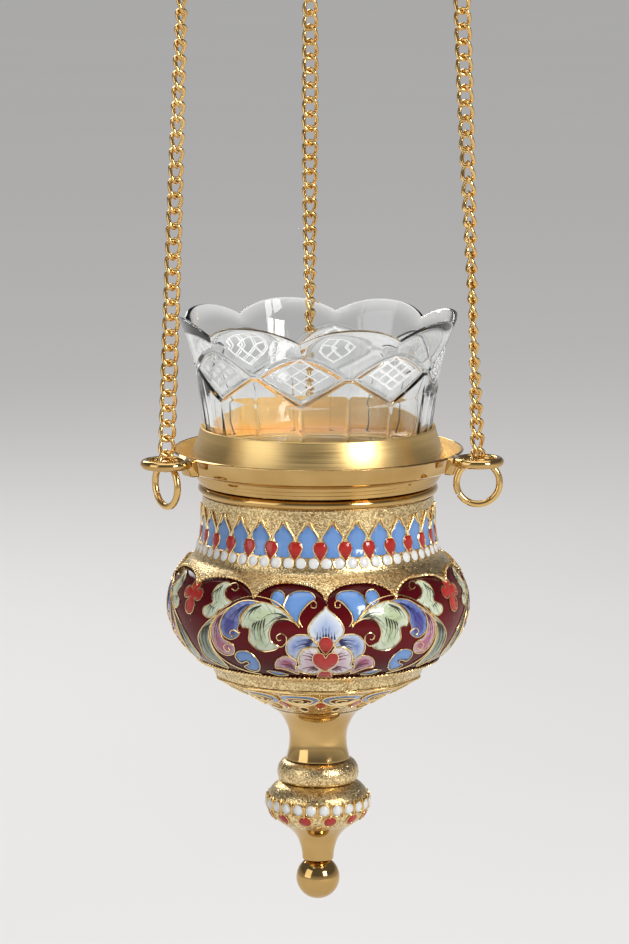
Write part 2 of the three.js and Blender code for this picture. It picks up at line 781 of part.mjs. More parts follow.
// One lug, split ring, chain and top ring on each side
for (const [side, azimuth] of Object.entries(lugAzimuths)) {
  const group = new THREE.Group();
  group.position.z = lugZ;
  group.rotation.z = rad(azimuth);
  model.add(group);
  addPiece(group, `lug_${side}`, makeLug(), polishedGilt());

  const ring = addPiece(group, `split_ring_${side}`, makeSplitRing(), chainGilt());
  ring.position.set(lugRadius, 0, -splitRingRadius);
  ring.rotation.z = rad(splitRingTurns[side]);

  const line = new THREE.Group();
  line.position.x = lugRadius;
  line.rotation.y = -lean;
  group.add(line);
  const footTurn = splitRingTurns[side] - 90;
  addPiece(line, `chain_${side}`, makeChain(footTurn, chainHeadTurns[side]), chainGilt());
  const topRing = addPiece(line, `top_ring_${side}`, wireRing(topRingRadius, topRingWireRadius), chainGilt());
  topRing.position.z = topRingCentre;
  topRing.rotation.z = Math.PI / 2;
}

export default model;
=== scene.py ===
# %% [markdown]
# # A hanging vigil lamp
# The lamp is a cut glass in a gilt holder over an enamelled bowl, and it hangs on three curb chains.
# Its moving frame is already modelled, so this lesson only dresses it. Each plain solid gets a finer
# piece or a better finish in the very same place. The frame is in metres with Z up. Because a
# goldsmith thinks in millimetres, the pieces below are drawn in millimetres, counted from the plane
# of the three lugs, and shrunk to metres when they are finished.

# %% Load the frame
import bpy, bmesh, json
from math import acos, atan2, cos, degrees, hypot, pi, radians, sin
from mathutils import Matrix, Vector


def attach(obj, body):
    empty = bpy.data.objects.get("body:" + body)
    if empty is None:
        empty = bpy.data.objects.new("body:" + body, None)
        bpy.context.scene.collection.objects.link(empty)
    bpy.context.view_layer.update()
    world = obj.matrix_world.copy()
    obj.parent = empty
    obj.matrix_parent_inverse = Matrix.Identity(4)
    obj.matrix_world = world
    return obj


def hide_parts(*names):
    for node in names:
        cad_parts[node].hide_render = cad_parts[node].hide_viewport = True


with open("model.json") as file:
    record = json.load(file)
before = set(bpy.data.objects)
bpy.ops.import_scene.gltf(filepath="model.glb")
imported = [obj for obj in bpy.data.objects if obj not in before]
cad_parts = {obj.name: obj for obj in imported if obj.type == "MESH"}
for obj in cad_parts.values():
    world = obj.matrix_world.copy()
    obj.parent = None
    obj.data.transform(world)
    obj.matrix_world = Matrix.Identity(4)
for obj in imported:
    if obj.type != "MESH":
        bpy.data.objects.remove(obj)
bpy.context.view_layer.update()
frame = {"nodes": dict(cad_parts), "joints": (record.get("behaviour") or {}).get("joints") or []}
nodes = frame["nodes"]
places = {joint["name"]: joint.get("pos_m") for joint in frame["joints"]}
lug_plane = places["lamp_tilt"][2]
mm = 0.001
print("pieces in the frame:", len(nodes), " lug plane at", round(lug_plane / mm, 2), "mm")

# %% [markdown]
# ## Turning on a lathe
# Almost every part of such a lamp is turned or spun over a former, so its shape is one outline. A
# round piece could be a stack of cylinders, but an outline that is spun about the axis gives the
# true form in one step. The corners of real metal are never perfectly sharp, so each clear corner
# of an outline is eased with a tiny curve before the spin. That thin curve catches the light.

# %% Outlines
def oval(centre, reach, start, stop, count):
    """Points on an oval arc. The centre and the reach are (radius, height), the angles in degrees."""
    angles = [radians(start + (stop - start) * i / count) for i in range(count + 1)]
    return [(centre[0] + reach[0] * cos(a), centre[1] + reach[1] * sin(a)) for a in angles]


def flowing(points, steps=4, closed=False):
    """A smooth line through a few points, like a bent spline of wood."""
    count = len(points)
    line = []
    for i in range(count if closed else count - 1):
        near = (k % count if closed else min(max(k, 0), count - 1) for k in range(i - 1, i + 3))
        a, b, c, d = (Vector(points[k]) for k in near)
        for k in range(steps):
            t = k / steps
            line.append(0.5 * (2 * b + (c - a) * t + (2 * a - 5 * b + 4 * c - d) * t ** 2
                               + (3 * b - a - 3 * c + d) * t ** 3))
    if not closed:
        line.append(Vector(points[-1]))
    return [tuple(point) for point in line]


nearly_straight = radians(155)


def eased(outline, ease=0.25):
    """The closed outline with each clear corner replaced by a small curve."""
    count = len(outline)
    result = []
    for i, point in enumerate(outline):
        here = Vector(point)
        back = Vector(outline[i - 1]) - here
        ahead = Vector(outline[(i + 1) % count]) - here
        if back.length < 1e-6 or ahead.length < 1e-6 or back.angle(ahead) > nearly_straight:
            result.append(tuple(here))
            continue
        cut = min(ease, 0.45 * back.length, 0.45 * ahead.length)
        start, stop = here + back.normalized() * cut, here + ahead.normalized() * cut
        for t in (0, 0.3, 0.7, 1):
            result.append(tuple(start * (1 - t) ** 2 + here * 2 * t * (1 - t) + stop * t ** 2))
    return result


def spun(outline, steps=120, closed=True):
    """A turned body from an outline of (radius, height) points."""
    bm = bmesh.new()
    verts = [bm.verts.new((radius, 0, height)) for radius, height in outline]
    edges = [bm.edges.new(pair) for pair in zip(verts, verts[1:])]
    if closed:
        edges.append(bm.edges.new((verts[-1], verts[0])))
    bmesh.ops.spin(bm, geom=verts + edges, cent=(0, 0, 0), axis=(0, 0, 1), dvec=(0, 0, 0),
                   angle=2 * pi, steps=steps, use_merge=True)
    bmesh.ops.remove_doubles(bm, verts=bm.verts, dist=0.002)
    bmesh.ops.dissolve_degenerate(bm, dist=0.0005, edges=bm.edges)
    bmesh.ops.recalc_face_normals(bm, faces=bm.faces)
    return bm


# %% [markdown]
# ## Drawing wire
# Hooks, rings and the cloisons round the enamel are wire. A torus or a swept circle would do, but a
# poly curve with a round bevel is the quickest way to draw wire along any line, and it is turned
# into a mesh at once so that it can be placed like everything else.

# %% Wire
def wire(paths, radius, sides=6, closed=False):
    """Round wire along each path of points."""
    curve = bpy.data.curves.new("wire", "CURVE")
    curve.dimensions = "3D"
    curve.bevel_depth = radius
    curve.bevel_resolution = (sides - 4) // 2
    curve.use_fill_caps = not closed
    for path in paths:
        spline = curve.splines.new("POLY")
        spline.points.add(len(path) - 1)
        for point, place in zip(spline.points, path):
            point.co = (place[0], place[1], place[2], 1)
        spline.use_cyclic_u = closed
    holder = bpy.data.objects.new("wire", curve)
    bpy.context.scene.collection.objects.link(holder)
    bpy.context.view_layer.update()
    drawn = bpy.data.meshes.new_from_object(holder.evaluated_get(bpy.context.evaluated_depsgraph_get()))
    bm = bmesh.new()
    bm.from_mesh(drawn)
    bpy.data.objects.remove(holder)
    bpy.data.curves.remove(curve)
    bpy.data.meshes.remove(drawn)
    bmesh.ops.remove_doubles(bm, verts=bm.verts, dist=0.001)
    bmesh.ops.recalc_face_normals(bm, faces=bm.faces)
    return bm


# %% [markdown]
# ## Finishing a piece
# A finished piece sits at the origin with its place in its mesh, rides on one body of the frame,
# and may hide the plain solid that it replaces.

# %% Keep a piece
def keep(bm, name, body, look, hides=(), crisp=38, in_lamp=True):
    """Turn a bmesh in millimetres into a piece of the lamp. A look is a material."""
    material, finish = look
    bmesh.ops.scale(bm, vec=(mm, mm, mm), verts=bm.verts)
    if in_lamp:
        bmesh.ops.translate(bm, vec=(0, 0, lug_plane), verts=bm.verts)
    mesh = bpy.data.meshes.new(name)
    bm.to_mesh(mesh)
    bm.free()
    mesh.polygons.foreach_set("use_smooth", [True] * len(mesh.polygons))
    mesh.set_sharp_from_angle(angle=radians(crisp))
    piece = bpy.data.objects.new(name, mesh)
    bpy.context.scene.collection.objects.link(piece)
    mesh.materials.append(material)
    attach(piece, body)
    if hides:
        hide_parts(*hides)
    print(name, "has", len(mesh.polygons), "faces")
    return piece


# %% [markdown]
# ## Gilding
# The metal is brass with a thick coat of gold. Four finishes show: a mirror polish, a satin brush
# along the turning, a fine stipple punched by hand, and the bright wire of the chains. One flat
# yellow would look like paint. Each finish is a metal whose colour, roughness and tiny bumps vary
# at the scale of the real tool marks. Some colours also carry painted light. The mirror gilt is
# written darker, as painted shade for the dark surroundings that a mirror would reflect. The fine
# cloison wire is paler, as a painted highlight. The stipple has painted shade in its punch marks
# and painted sparkle. The inside of the dish and collar gets a paler satin, a painted glow that
# stands in for the light that gold throws onto gold.

# %% Helpers for materials
def new_material(name):
    material = bpy.data.materials.new(name)
    material.use_nodes = True
    tree = material.node_tree
    return material, tree, tree.nodes["Principled BSDF"]


def add(tree, kind, values=None, **settings):
    """A node with some settings and some values on its inputs. A value may be another node's output."""
    node = tree.nodes.new(kind)
    for key, value in settings.items():
        setattr(node, key, value)
    for key, value in (values or {}).items():
        if isinstance(value, bpy.types.NodeSocket):
            tree.links.new(value, node.inputs[key])
        else:
            node.inputs[key].default_value = value
    return node


def blended(tree, share, first, second):
    """A colour between two colours by a share from 0 to 1."""
    mixer = add(tree, "ShaderNodeMix", data_type="RGBA")
    tree.links.new(share, mixer.inputs["Factor"])
    for name, colour in (("A", first), ("B", second)):
        socket = [s for s in mixer.inputs if s.name == name and s.type == "RGBA"][0]
        if isinstance(colour, bpy.types.NodeSocket):
            tree.links.new(colour, socket)
        else:
            socket.default_value = (*colour, 1)
    return [s for s in mixer.outputs if s.type == "RGBA"][0]


def ranged(tree, value, low, high, new_low=0.0, new_high=1.0):
    """A value moved from one range to another and held inside it."""
    return add(tree, "ShaderNodeMapRange", {"Value": value, "From Min": low, "From Max": high,
               "To Min": new_low, "To Max": new_high}).outputs["Result"]


def calc(tree, operation, *values):
    return add(tree, "ShaderNodeMath", dict(enumerate(values)), operation=operation).outputs["Value"]


def object_place(tree):
    return add(tree, "ShaderNodeTexCoord").outputs["Object"]


def stretched(tree, vector, scale):
    return add(tree, "ShaderNodeMapping", {"Vector": vector, "Scale": scale}).outputs["Vector"]


def parted(tree, vector):
    return add(tree, "ShaderNodeSeparateXYZ", {"Vector": vector}).outputs


def from_map(tree, name):
    return add(tree, "ShaderNodeUVMap", uv_map=name).outputs["UV"]


def noise(tree, where, scale, detail):
    return add(tree, "ShaderNodeTexNoise", {"Vector": where, "Scale": scale, "Detail": detail}).outputs["Fac"]


def from_noise(tree, grain, low=0.0, high=1.0):
    """Another range for a noise, most of which lies between 0.3 and 0.7."""
    return ranged(tree, grain, 0.3, 0.7, low, high)


def bump(tree, height, strength, distance):
    return add(tree, "ShaderNodeBump", {"Height": height, "Strength": strength,
               "Distance": distance}).outputs["Normal"]


def finish_skin(tree, skin, colour, roughness, normal=None, metal=0.0):
    tree.links.new(colour, skin.inputs["Base Color"])
    tree.links.new(roughness, skin.inputs["Roughness"])
    if normal:
        tree.links.new(normal, skin.inputs["Normal"])
    skin.inputs["Metallic"].default_value = metal


# %% Gilt finishes
# gold and deep_gold are the mirror gilt's colours. They are written darker than the satin gilt: painted shade
# that stands in for the dark surroundings a mirror would reflect.
gold = (0.66, 0.44, 0.175)
deep_gold = (0.50, 0.31, 0.105)
# pale_gold and dark_gold are the stipple's painted sparkle and painted shade. pale_gold is also the cloison
# wire's paler gold, a painted highlight.
pale_gold = (1.0, 0.80, 0.44)
dark_gold = (0.34, 0.20, 0.06)


def polished_gilt(name="polished_gilt", low=0.05, high=0.13, bright=gold, deep=deep_gold):
    material, tree, skin = new_material(name)
    where = object_place(tree)
    cloudy, hairline = noise(tree, where, 60, 3), noise(tree, where, 900, 2)
    finish_skin(tree, skin, blended(tree, from_noise(tree, cloudy), deep, bright),
                from_noise(tree, hairline, low, high), bump(tree, cloudy, 0.05, 0.0006), 1)
    return material


def satin_gilt(name="satin_gilt", low=0.28, high=0.4, bright=(0.88, 0.63, 0.27), deep=(0.74, 0.51, 0.20),
               metal=1.0):
    material, tree, skin = new_material(name)
    brushed = noise(tree, stretched(tree, object_place(tree), (40, 40, 4200)), 1, 3)
    finish_skin(tree, skin, blended(tree, from_noise(tree, brushed), deep, bright),
                from_noise(tree, brushed, low, high), bump(tree, brushed, 0.25, 0.00005), metal)
    return material


def stippled_gilt():
    material, tree, skin = new_material("stippled_gilt")
    where = object_place(tree)
    # Each punch mark gets one random brightness, a painted sparkle. It is darker away from its middle, a
    # painted shade in the punch marks.
    punch_marks = add(tree, "ShaderNodeTexVoronoi", {"Vector": where, "Scale": 2100}).outputs
    grain = add(tree, "ShaderNodeSeparateColor", {"Color": punch_marks["Color"]}).outputs["Red"]
    punch_shade = calc(tree, "MULTIPLY", punch_marks["Distance"], 0.55)
    sparkle_and_punch_shade = calc(tree, "ADD", punch_shade, ranged(tree, grain, 0, 1, 0, 0.62))
    finish_skin(tree, skin, blended(tree, ranged(tree, sparkle_and_punch_shade, 0.3, 1.0), pale_gold, dark_gold),
                from_noise(tree, noise(tree, where, 90, 2), 0.2, 0.32), bump(tree, sparkle_and_punch_shade, 0.5, 0.00025), 1)
    return material


# The mirror gilt, whose darker gold is painted shade for the dark surroundings it would reflect.
mirror = polished_gilt()
wire_gilt = polished_gilt("chain_gilt", 0.1, 0.22, (0.84, 0.58, 0.24), (0.70, 0.45, 0.16))
# The fine cloison wire gets pale_gold, paler than the other gilt: a painted highlight that keeps the thin
# wires bright.
cloison_gilt_painted_bright = polished_gilt("cloison_gilt_painted_bright", 0.2, 0.3, pale_gold, (0.80, 0.56, 0.24))
satin = satin_gilt()
# A paler, less metallic copy of the satin gilt for the inside of the dish and collar: a painted glow that
# stands in for light that gold throws onto gold.
inner_gilt_painted_glow = satin_gilt("inner_gilt_painted_glow", 0.35, 0.5, (1.0, 0.71, 0.29), (0.95, 0.63, 0.22), 0.6)
stipple = stippled_gilt()
polished, punched = (mirror, "polished_gilt"), (stipple, "stippled_gilt")
thick_wire, fine_wire = (wire_gilt, "chain_gilt"), (cloison_gilt_painted_bright, "chain_gilt")
print("gilt finishes:", mirror.name, wire_gilt.name, satin.name, stipple.name)

# %% [markdown]
# ## The holder
# The carrier is a dish spun from sheet, with a wide polished flank, three fine steps under it and a
# skirt that drops into the bowl. Inside it stands the collar, a cone with hollow flanks that keeps
# the glass from sliding. The collar is brushed satin, which is why it shows one broad soft light.

# %% Carrier and collar
dish_floor, inside_radius, collar_wall = -4.2, 42.9, 0.6
flank = [(41.4, -4.5), (41.7, -3.3), (42.6, -1.4), (43.75, 0.15)]
first_step, first_step_radius, step_height, step_width = -6.1, 37.3, 1.2, 0.75
steps_outline = []
for i in (2, 1, 0):
    for foot in (i + 1, i):
        steps_outline.append((first_step_radius - step_width * i, first_step - step_height * foot))
carrier_outline = ([(31.2, -15.7), (32.5, -15.7), (32.5, -9.7)] + steps_outline + [(40.2, -5.2)]
                   + flowing(flank, 4) + [(43.0, 0.6), (40.6, dish_floor), (28.0, dish_floor),
                   (28.0, -6.0), (24.5, -6.0), (24.5, -7.4), (31.2, -7.4)])
carrier = keep(spun(eased(carrier_outline, 0.3), 180), "carrier", "lamp", polished, ("carrier_ring",))

collar_outside = flowing([(40.2, -3.9), (39.1, -2.6), (37.5, 0.4), (36.1, 3.8), (35.2, 7.2)], 5)
collar_inside = [(radius - collar_wall, height) for radius, height in reversed(collar_outside)]
collar = keep(spun(eased(collar_outside + collar_inside), 180), "collar_cone", "lamp",
              (satin, "satin_gilt"), ("collar",))
dish_edge = lug_plane + (dish_floor - 0.5) * mm
# Faces inside the dish and the collar's inner faces get the paler satin, which is a painted glow.
for piece in (carrier, collar):
    piece.data.materials.append(inner_gilt_painted_glow)
    for face in piece.data.polygons:
        away = face.normal.x * face.center.x + face.normal.y * face.center.y
        reach = hypot(face.center.x, face.center.y)
        lies_inside = face.center.z > dish_edge and reach < inside_radius * mm
        faces_inside = away < 0 or (piece == carrier and face.normal.z > 0.5)
        face.material_index = 1 if lies_inside and faces_inside else 0

# %% [markdown]
# ## Bowl, stem and finial
# The bowl's outline is two oval curves that meet at the belly, with a short hollow flare up to the
# neck. Its height and width follow from the same few numbers that the ornament uses later, so the
# enamel always lies on the metal.

# %% The bowl's outline
neck_radius, neck_top, neck_foot = 34.75, -13.3, -21.3
shoulder_radius, shoulder = 37.2, -31.6
belly_radius, belly = 45.3, -46.5
band_radius, band = 32.2, -65.0
bowl_foot_radius, bowl_foot = 31.4, -67.5
bowl_wall, flare_hollow = 1.3, 0.2
belly_middle = 0.3 * belly_radius
belly_reach = belly_radius - belly_middle
upper_angle = acos((shoulder_radius - belly_middle) / belly_reach)
lower_angle = acos((band_radius - belly_middle) / belly_reach)
upper_reach = (shoulder - belly) / sin(upper_angle)
lower_reach = (belly - band) / sin(lower_angle)
lower_curve = oval((belly_middle, belly), (belly_reach, lower_reach), -degrees(lower_angle), 0, 22)
upper_curve = oval((belly_middle, belly), (belly_reach, upper_reach), 0, degrees(upper_angle), 18)
flare = []
for i in range(1, 11):
    t = i / 10
    straight = shoulder_radius + (neck_radius - shoulder_radius) * t
    hollow = flare_hollow * (shoulder_radius - neck_radius) * 4 * t * (1 - t)
    flare.append((straight - hollow, shoulder + (neck_foot - shoulder) * t))
bowl_skin = ([(bowl_foot_radius, bowl_foot)] + lower_curve + upper_curve[1:] + flare
             + [(neck_radius, neck_top)])
bowl_inside = [(radius - bowl_wall, height) for radius, height in reversed(bowl_skin[1:-1])]
bowl_outline = (bowl_skin + [(34.0, neck_top), (34.0, -10.0), (32.8, -10.0), (32.8, neck_foot)]
                + [point for point in bowl_inside if point[1] < neck_foot - 1]
                + [(bowl_foot_radius - 1.2, bowl_foot)])
keep(spun(bowl_outline, 180), "bowl_metal", "lamp", (stipple, "enamelled_gilt"), ("bowl",), 50)

bead_outline = [(34.3, -13.0)] + oval((34.3, -11.5), (1.7, 1.5), -90, 90, 12)
keep(spun(eased(bead_outline, 0.15), 180), "rim_moulding", "lamp", polished, ("rim_bead",))

# %% Stem, knop, cap and ball
rod_bore = 2.7
stem_outline = [(rod_bore, -94.5), (9.6, -94.5)] + flowing(
    [(9.6, -94.3), (9.1, -92.2), (8.75, -90.0), (8.7, -87.4), (9.2, -84.8), (10.6, -81.8),
     (12.2, -79.8), (14.2, -78.3)], 5) + [(rod_bore, -78.3)]
keep(spun(eased(stem_outline, 0.15)), "stem_trumpet", "lamp", polished, ("stem",))
knop_outline = ([(rod_bore, -101.3)] + oval((11.3, -98.7), (1.0, 2.6), -90, 0, 8)
                + oval((9.6, -98.7), (2.7, 3.9), 0, 90, 12)[1:] + [(rod_bore, -94.8)])
keep(spun(knop_outline), "knop_cushion", "lamp", punched, ("knop",), 50)

cap_side = flowing([(11.5, -101.6), (13.2, -102.7), (14.8, -104.6), (15.3, -106.4), (15.35, -108.2),
                    (15.0, -110.0), (14.2, -111.7), (12.5, -113.4), (10.2, -115.0)])
cap_taper = flowing([(10.2, -115.0), (7.9, -117.0), (6.3, -119.1), (5.4, -121.4), (4.9, -123.6),
                     (4.7, -125.8)], 5)
cap_wall = cap_side + cap_taper[1:]
cap_outline = [(rod_bore, -101.6)] + cap_wall + [(rod_bore, -125.8)]
cap = keep(spun(cap_outline), "cap_body", "lamp", punched, ("finial_cap",), 50)
cap.data.materials.append(mirror)
taper_top = lug_plane - 114.6 * mm
for face in cap.data.polygons:
    face.material_index = 1 if face.center.z < taper_top else 0
ball_radius, ball_middle = 6.6, -131.7
ball_outline = oval((0, ball_middle), (ball_radius, ball_radius), -90, 58, 24)
ball_outline += [(2.7, -126.1), (2.7, -132.4), (0, -132.4)]
keep(spun(ball_outline, 96, closed=False), "ball_end", "lamp", polished, ("finial_ball",))

# %% [markdown]
# ## Base plate
# The plate that closes the bowl has a scalloped edge above a shallow cone. A lathe can't make the
# scallops: they are chased, so the turned plate gets its edge pushed out and in by a wave of
# twelve lobes, strongest at the edge and gone at the cone's middle.

# %% Base plate
ledge_top, cone_foot = -67.7, -78.1
cone_line = flowing([(30.6, -68.7), (27.0, -70.6), (22.0, -73.4), (17.0, -76.4), (14.4, cone_foot)], 5)
plate_outline = ([(rod_bore, cone_foot)] + cone_line[::-1]
                 + [(31.2, -68.2), (31.2, ledge_top), (29.9, ledge_top), (29.9, -65.9),
                    (28.5, -65.9), (28.5, -68.9), (12.9, -76.5), (rod_bore, -76.5)])
plate_mesh = spun(eased(plate_outline, 0.2), 240)
lobes, first_lobe = 12, radians(-73)
scallop_start, scallop_run, scallop_depth = 18, 11, 0.5


def scalloped(point):
    """Draw a point of the plate's edge in and up between the lobes."""
    reach = hypot(point.x, point.y)
    if reach < scallop_start or point.z > ledge_top - 0.1:
        return point
    wave = cos(lobes * (atan2(point.y, point.x) - first_lobe))
    pull = min(1, (reach - scallop_start) / scallop_run) * scallop_depth * (wave - 1)
    grown = (reach + pull) / reach
    return Vector((point.x * grown, point.y * grown, point.z + 0.5 * min(0, -pull)))


for vert in plate_mesh.verts:
    vert.co = scalloped(vert.co)
keep(plate_mesh, "plate_scalloped", "lamp", punched, ("base_plate",), 50)

# %% [markdown]
# ## Lugs and rings
# Each lug is a cast ring lying flat on a short block. A split ring hangs through it and takes the
# chain, so the chain ends straight above the middle of the lug's ring. The ring is bent wire with a
# saw cut, which is left open.

# %% Lugs
sides = {"left": 212.8, "right": 332.8, "back": 92.8}
split_turns = {"left": 90, "right": 27.2, "back": 150}
head_turns = {"left": 0, "right": 0, "back": -180}
lug_radius, lug_ring_radius, lug_wire, lug_stretch, block_width = 53.0, 6.4, 1.25, 1.12, 5.4


def circle(radius, x, z, steps, start=0, stop=360, lying=False):
    """Points round a circle in the middle plane of a part. It stands upright or lies flat."""
    points = oval((x, 0 if lying else z), (radius, radius), start, stop, steps)
    if stop - start == 360:
        points.pop()
    return [(across, up, z) if lying else (across, 0, up) for across, up in points]


def turned(bm, angle):
    """A part turned about the upright axis by an angle in degrees."""
    bmesh.ops.rotate(bm, cent=(0, 0, 0), matrix=Matrix.Rotation(radians(angle), 3, "Z"), verts=bm.verts)
    return bm


def joined(first, *others):
    """One bmesh that holds all the given ones."""
    for other in others:
        mesh = bpy.data.meshes.new("part")
        other.to_mesh(mesh)
        first.from_mesh(mesh)
        other.free()
        bpy.data.meshes.remove(mesh)
    return first


def lug_block():
    """Side outline of the block and its gusset, thickened and eased all round."""
    bm = bmesh.new()
    outline = [(43.0, -4.4), (45.9, -4.4), (46.9, -2.2), (47.6, -0.6), (46.2, 1.0), (44.1, 1.0),
               (43.9, 0.0)]
    face = bm.faces.new([bm.verts.new((x, -block_width / 2, z)) for x, z in outline])
    grown = bmesh.ops.extrude_face_region(bm, geom=[face])
    moved = [v for v in grown["geom"] if isinstance(v, bmesh.types.BMVert)]
    bmesh.ops.translate(bm, vec=(0, block_width, 0), verts=moved)
    bmesh.ops.recalc_face_normals(bm, faces=bm.faces)
    bmesh.ops.bevel(bm, geom=list(bm.edges), offset=0.7, offset_type="OFFSET", segments=4, profile=0.5,
                    affect="EDGES", material=-1, clamp_overlap=True)
    return bm


for side, azimuth in sides.items():
    ring = wire([circle(lug_ring_radius, lug_radius, 0, 64, lying=True)], lug_wire, 12, closed=True)
    bmesh.ops.scale(ring, vec=(1, 1, lug_stretch), verts=ring.verts)
    lug = turned(joined(ring, lug_block()), azimuth)
    keep(lug, "lug_ring_" + side, "lamp", polished, ("lug_" + side,), 50)

# %% Split rings and top rings
lean = radians(2.56)
link_space, links, first_link = 4.45, 33, 0.875
split_radius, saw_cut = 6.35, 1.9
top_radius, top_ring_centre = 3.8, 148.15


def hung(bm, azimuth, turn=0.0, up=0.0):
    """Stand a part on a chain's line, which leans in towards the axis, and turn it to its side."""
    line = (Matrix.Rotation(radians(azimuth), 4, "Z") @ Matrix.Translation((lug_radius, 0, 0))
            @ Matrix.Rotation(-lean, 4, "Y") @ Matrix.Translation((0, 0, up))
            @ Matrix.Rotation(radians(turn), 4, "Z"))
    bmesh.ops.transform(bm, matrix=line, verts=bm.verts)
    return bm


for side, azimuth in sides.items():
    ring = wire([circle(split_radius, 0, 0, 60, -150 + saw_cut, 210 - saw_cut)], 1.0, 12)
    turned(ring, split_turns[side])
    bmesh.ops.translate(ring, vec=(lug_radius, 0, -split_radius), verts=ring.verts)
    body = "split_ring_left" if side == "left" else "lamp"
    keep(turned(ring, azimuth), "split_wire_" + side, body, thick_wire, ("split_ring_" + side,))
    top = wire([circle(top_radius, 0, 0, 40)], 0.8, 10, closed=True)
    keep(hung(top, azimuth, 90, top_ring_centre), "top_wire_" + side, "top_ring_" + side, thick_wire,
         ("top_ring_" + side,))

# %% [markdown]
# ## Curb chain
# A curb link is an oval ring that is twisted a quarter turn, so that the links lie flat against one
# another and the chain looks like a rope. A plain chain of alternate links would look stiff and
# open. One ring is made, drawn out into an oval, twisted about its length, and then set 33 times
# along the line, each link a little further round so that the chain unwinds as it hangs.

# %% Chains
link_radius, link_wire, link_length = 2.0, 0.65, 6.95
link_stretch, stretch_end = 0.825, 0.9


def curb_link():
    bm = wire([circle(link_radius, 0, 0, 20)], link_wire, 8, closed=True)
    for vert in bm.verts:
        vert.co.z += link_stretch * max(-1, min(1, vert.co.z / stretch_end))
        vert.co = Matrix.Rotation(radians(-90) * vert.co.z / link_length, 3, "Z") @ vert.co
    return bm


for side, azimuth in sides.items():
    bottom = split_turns[side] - 90 - 45
    top = head_turns[side] + 45
    placed = [hung(curb_link(), azimuth, bottom + (top - bottom) * i / (links - 1),
                   first_link + link_space * i) for i in range(links)]
    keep(joined(*placed), "chain_links_" + side, "chain_" + side, thick_wire, ("chain_" + side,), 60)

# %% [markdown]
# ## Drawing on the bowl
# The enameller draws the pattern flat and then bends each wire to the curved wall. The lesson does
# the same. A point of the pattern is a way round the bowl and a way up its wall, both in
# millimetres, and a helper lays it on the metal with a small lift. A texture could only tint the
# wall. Real wires and real pools of enamel stand up from it and catch the light.

# %% Lay a flat pattern on the bowl
pattern_middle, pattern_turn = -48.1, radians(2.9)
round_radius, repeats = 45.0, 3
repeat = 2 * pi / repeats * round_radius
wall_line = [(Vector(a), Vector(b)) for a, b in zip(bowl_skin, bowl_skin[1:])]
wall_ways = [0.0]
for low_end, high_end in wall_line:
    wall_ways.append(wall_ways[-1] + (high_end - low_end).length)


def way_at(height):
    """The way up the wall, from its foot, at a height."""
    for (low_end, high_end), start in zip(wall_line, wall_ways):
        if low_end.y <= height <= high_end.y:
            return start + (height - low_end.y) / (high_end.y - low_end.y) * (high_end - low_end).length
    return wall_ways[-1]


middle_way = way_at(pattern_middle)


def wall_normal(index):
    low_end, high_end = wall_line[min(max(index, 0), len(wall_line) - 1)]
    rise = (high_end - low_end).normalized()
    return Vector((rise.y, -rise.x))


def on_wall(angle, way, lift):
    """A point on the bowl: angle from the front towards the right, way up from the pattern's middle."""
    goal = min(max(way + middle_way, 0.001), wall_ways[-1] - 0.001)
    low, high = 0, len(wall_ways) - 1
    while high - low > 1:
        half = (low + high) // 2
        if wall_ways[half] <= goal:
            low = half
        else:
            high = half
    share = (goal - wall_ways[low]) / (wall_ways[low + 1] - wall_ways[low])
    low_end, high_end = wall_line[low]
    place = low_end.lerp(high_end, share)
    here = wall_normal(low)
    other = wall_normal(low + 1) if share > 0.5 else wall_normal(low - 1)
    normal = here.lerp(other, abs(share - 0.5)).normalized()
    radius, height = place.x + normal.x * lift, place.y + normal.y * lift
    return Vector((radius * sin(angle), -radius * cos(angle), height))


def on_belly(angle, across, up, lift):
    return on_wall(angle + across / round_radius, up, lift)


def on_belly_mirrored(angle, across, up, lift):
    return on_wall(angle - across / round_radius, up, lift)


print("wall is", round(wall_ways[-1], 1), "mm long, middle at", round(middle_way, 1))

# %% [markdown]
# ## Painted enamel
# The wells between the wires are filled with glass powder, fired, and shaded with a brush while the
# next firing waits. So each leaf is pale at its rim, fuller inside, and has thin dark strokes that
# fan out from its root. Two maps carry this: one holds the distance from the root and the angle
# round it, the other the distance from the nearest wire.

# %% Enamel finishes
def enamel(name, rim_colour, full_colour, stroke_colour=None, reach=1.6, stroke_from=2.0, stroke_to=8.0,
           fan=3.4, gloss=0.4):
    material, tree, skin = new_material("enamel_" + name)
    cloudy = noise(tree, object_place(tree), 420, 3)
    from_rim = parted(tree, from_map(tree, "rim"))["X"]
    uneven = calc(tree, "ADD", from_noise(tree, cloudy, -0.25, 0.25), from_rim)
    colour = blended(tree, ranged(tree, uneven, 0.1, reach), rim_colour, full_colour)
    if stroke_colour:
        petal = from_map(tree, "petal")
        streaks = noise(tree, stretched(tree, petal, (0.12, fan, 1)), 1.6, 1.0)
        fading = ranged(tree, parted(tree, petal)["X"], stroke_from, stroke_to, 0.4, 0)
        strokes = calc(tree, "MULTIPLY", ranged(tree, streaks, 0.53, 0.62), fading)
        colour = blended(tree, strokes, colour, stroke_colour)
    finish_skin(tree, skin, colour, from_noise(tree, cloudy, 0.1, 0.2), bump(tree, cloudy, 0.12, 0.0002))
    skin.inputs["Specular IOR Level"].default_value = gloss
    skin.inputs["Coat Weight"].default_value = gloss
    skin.inputs["Coat Roughness"].default_value = 0.05
    return material


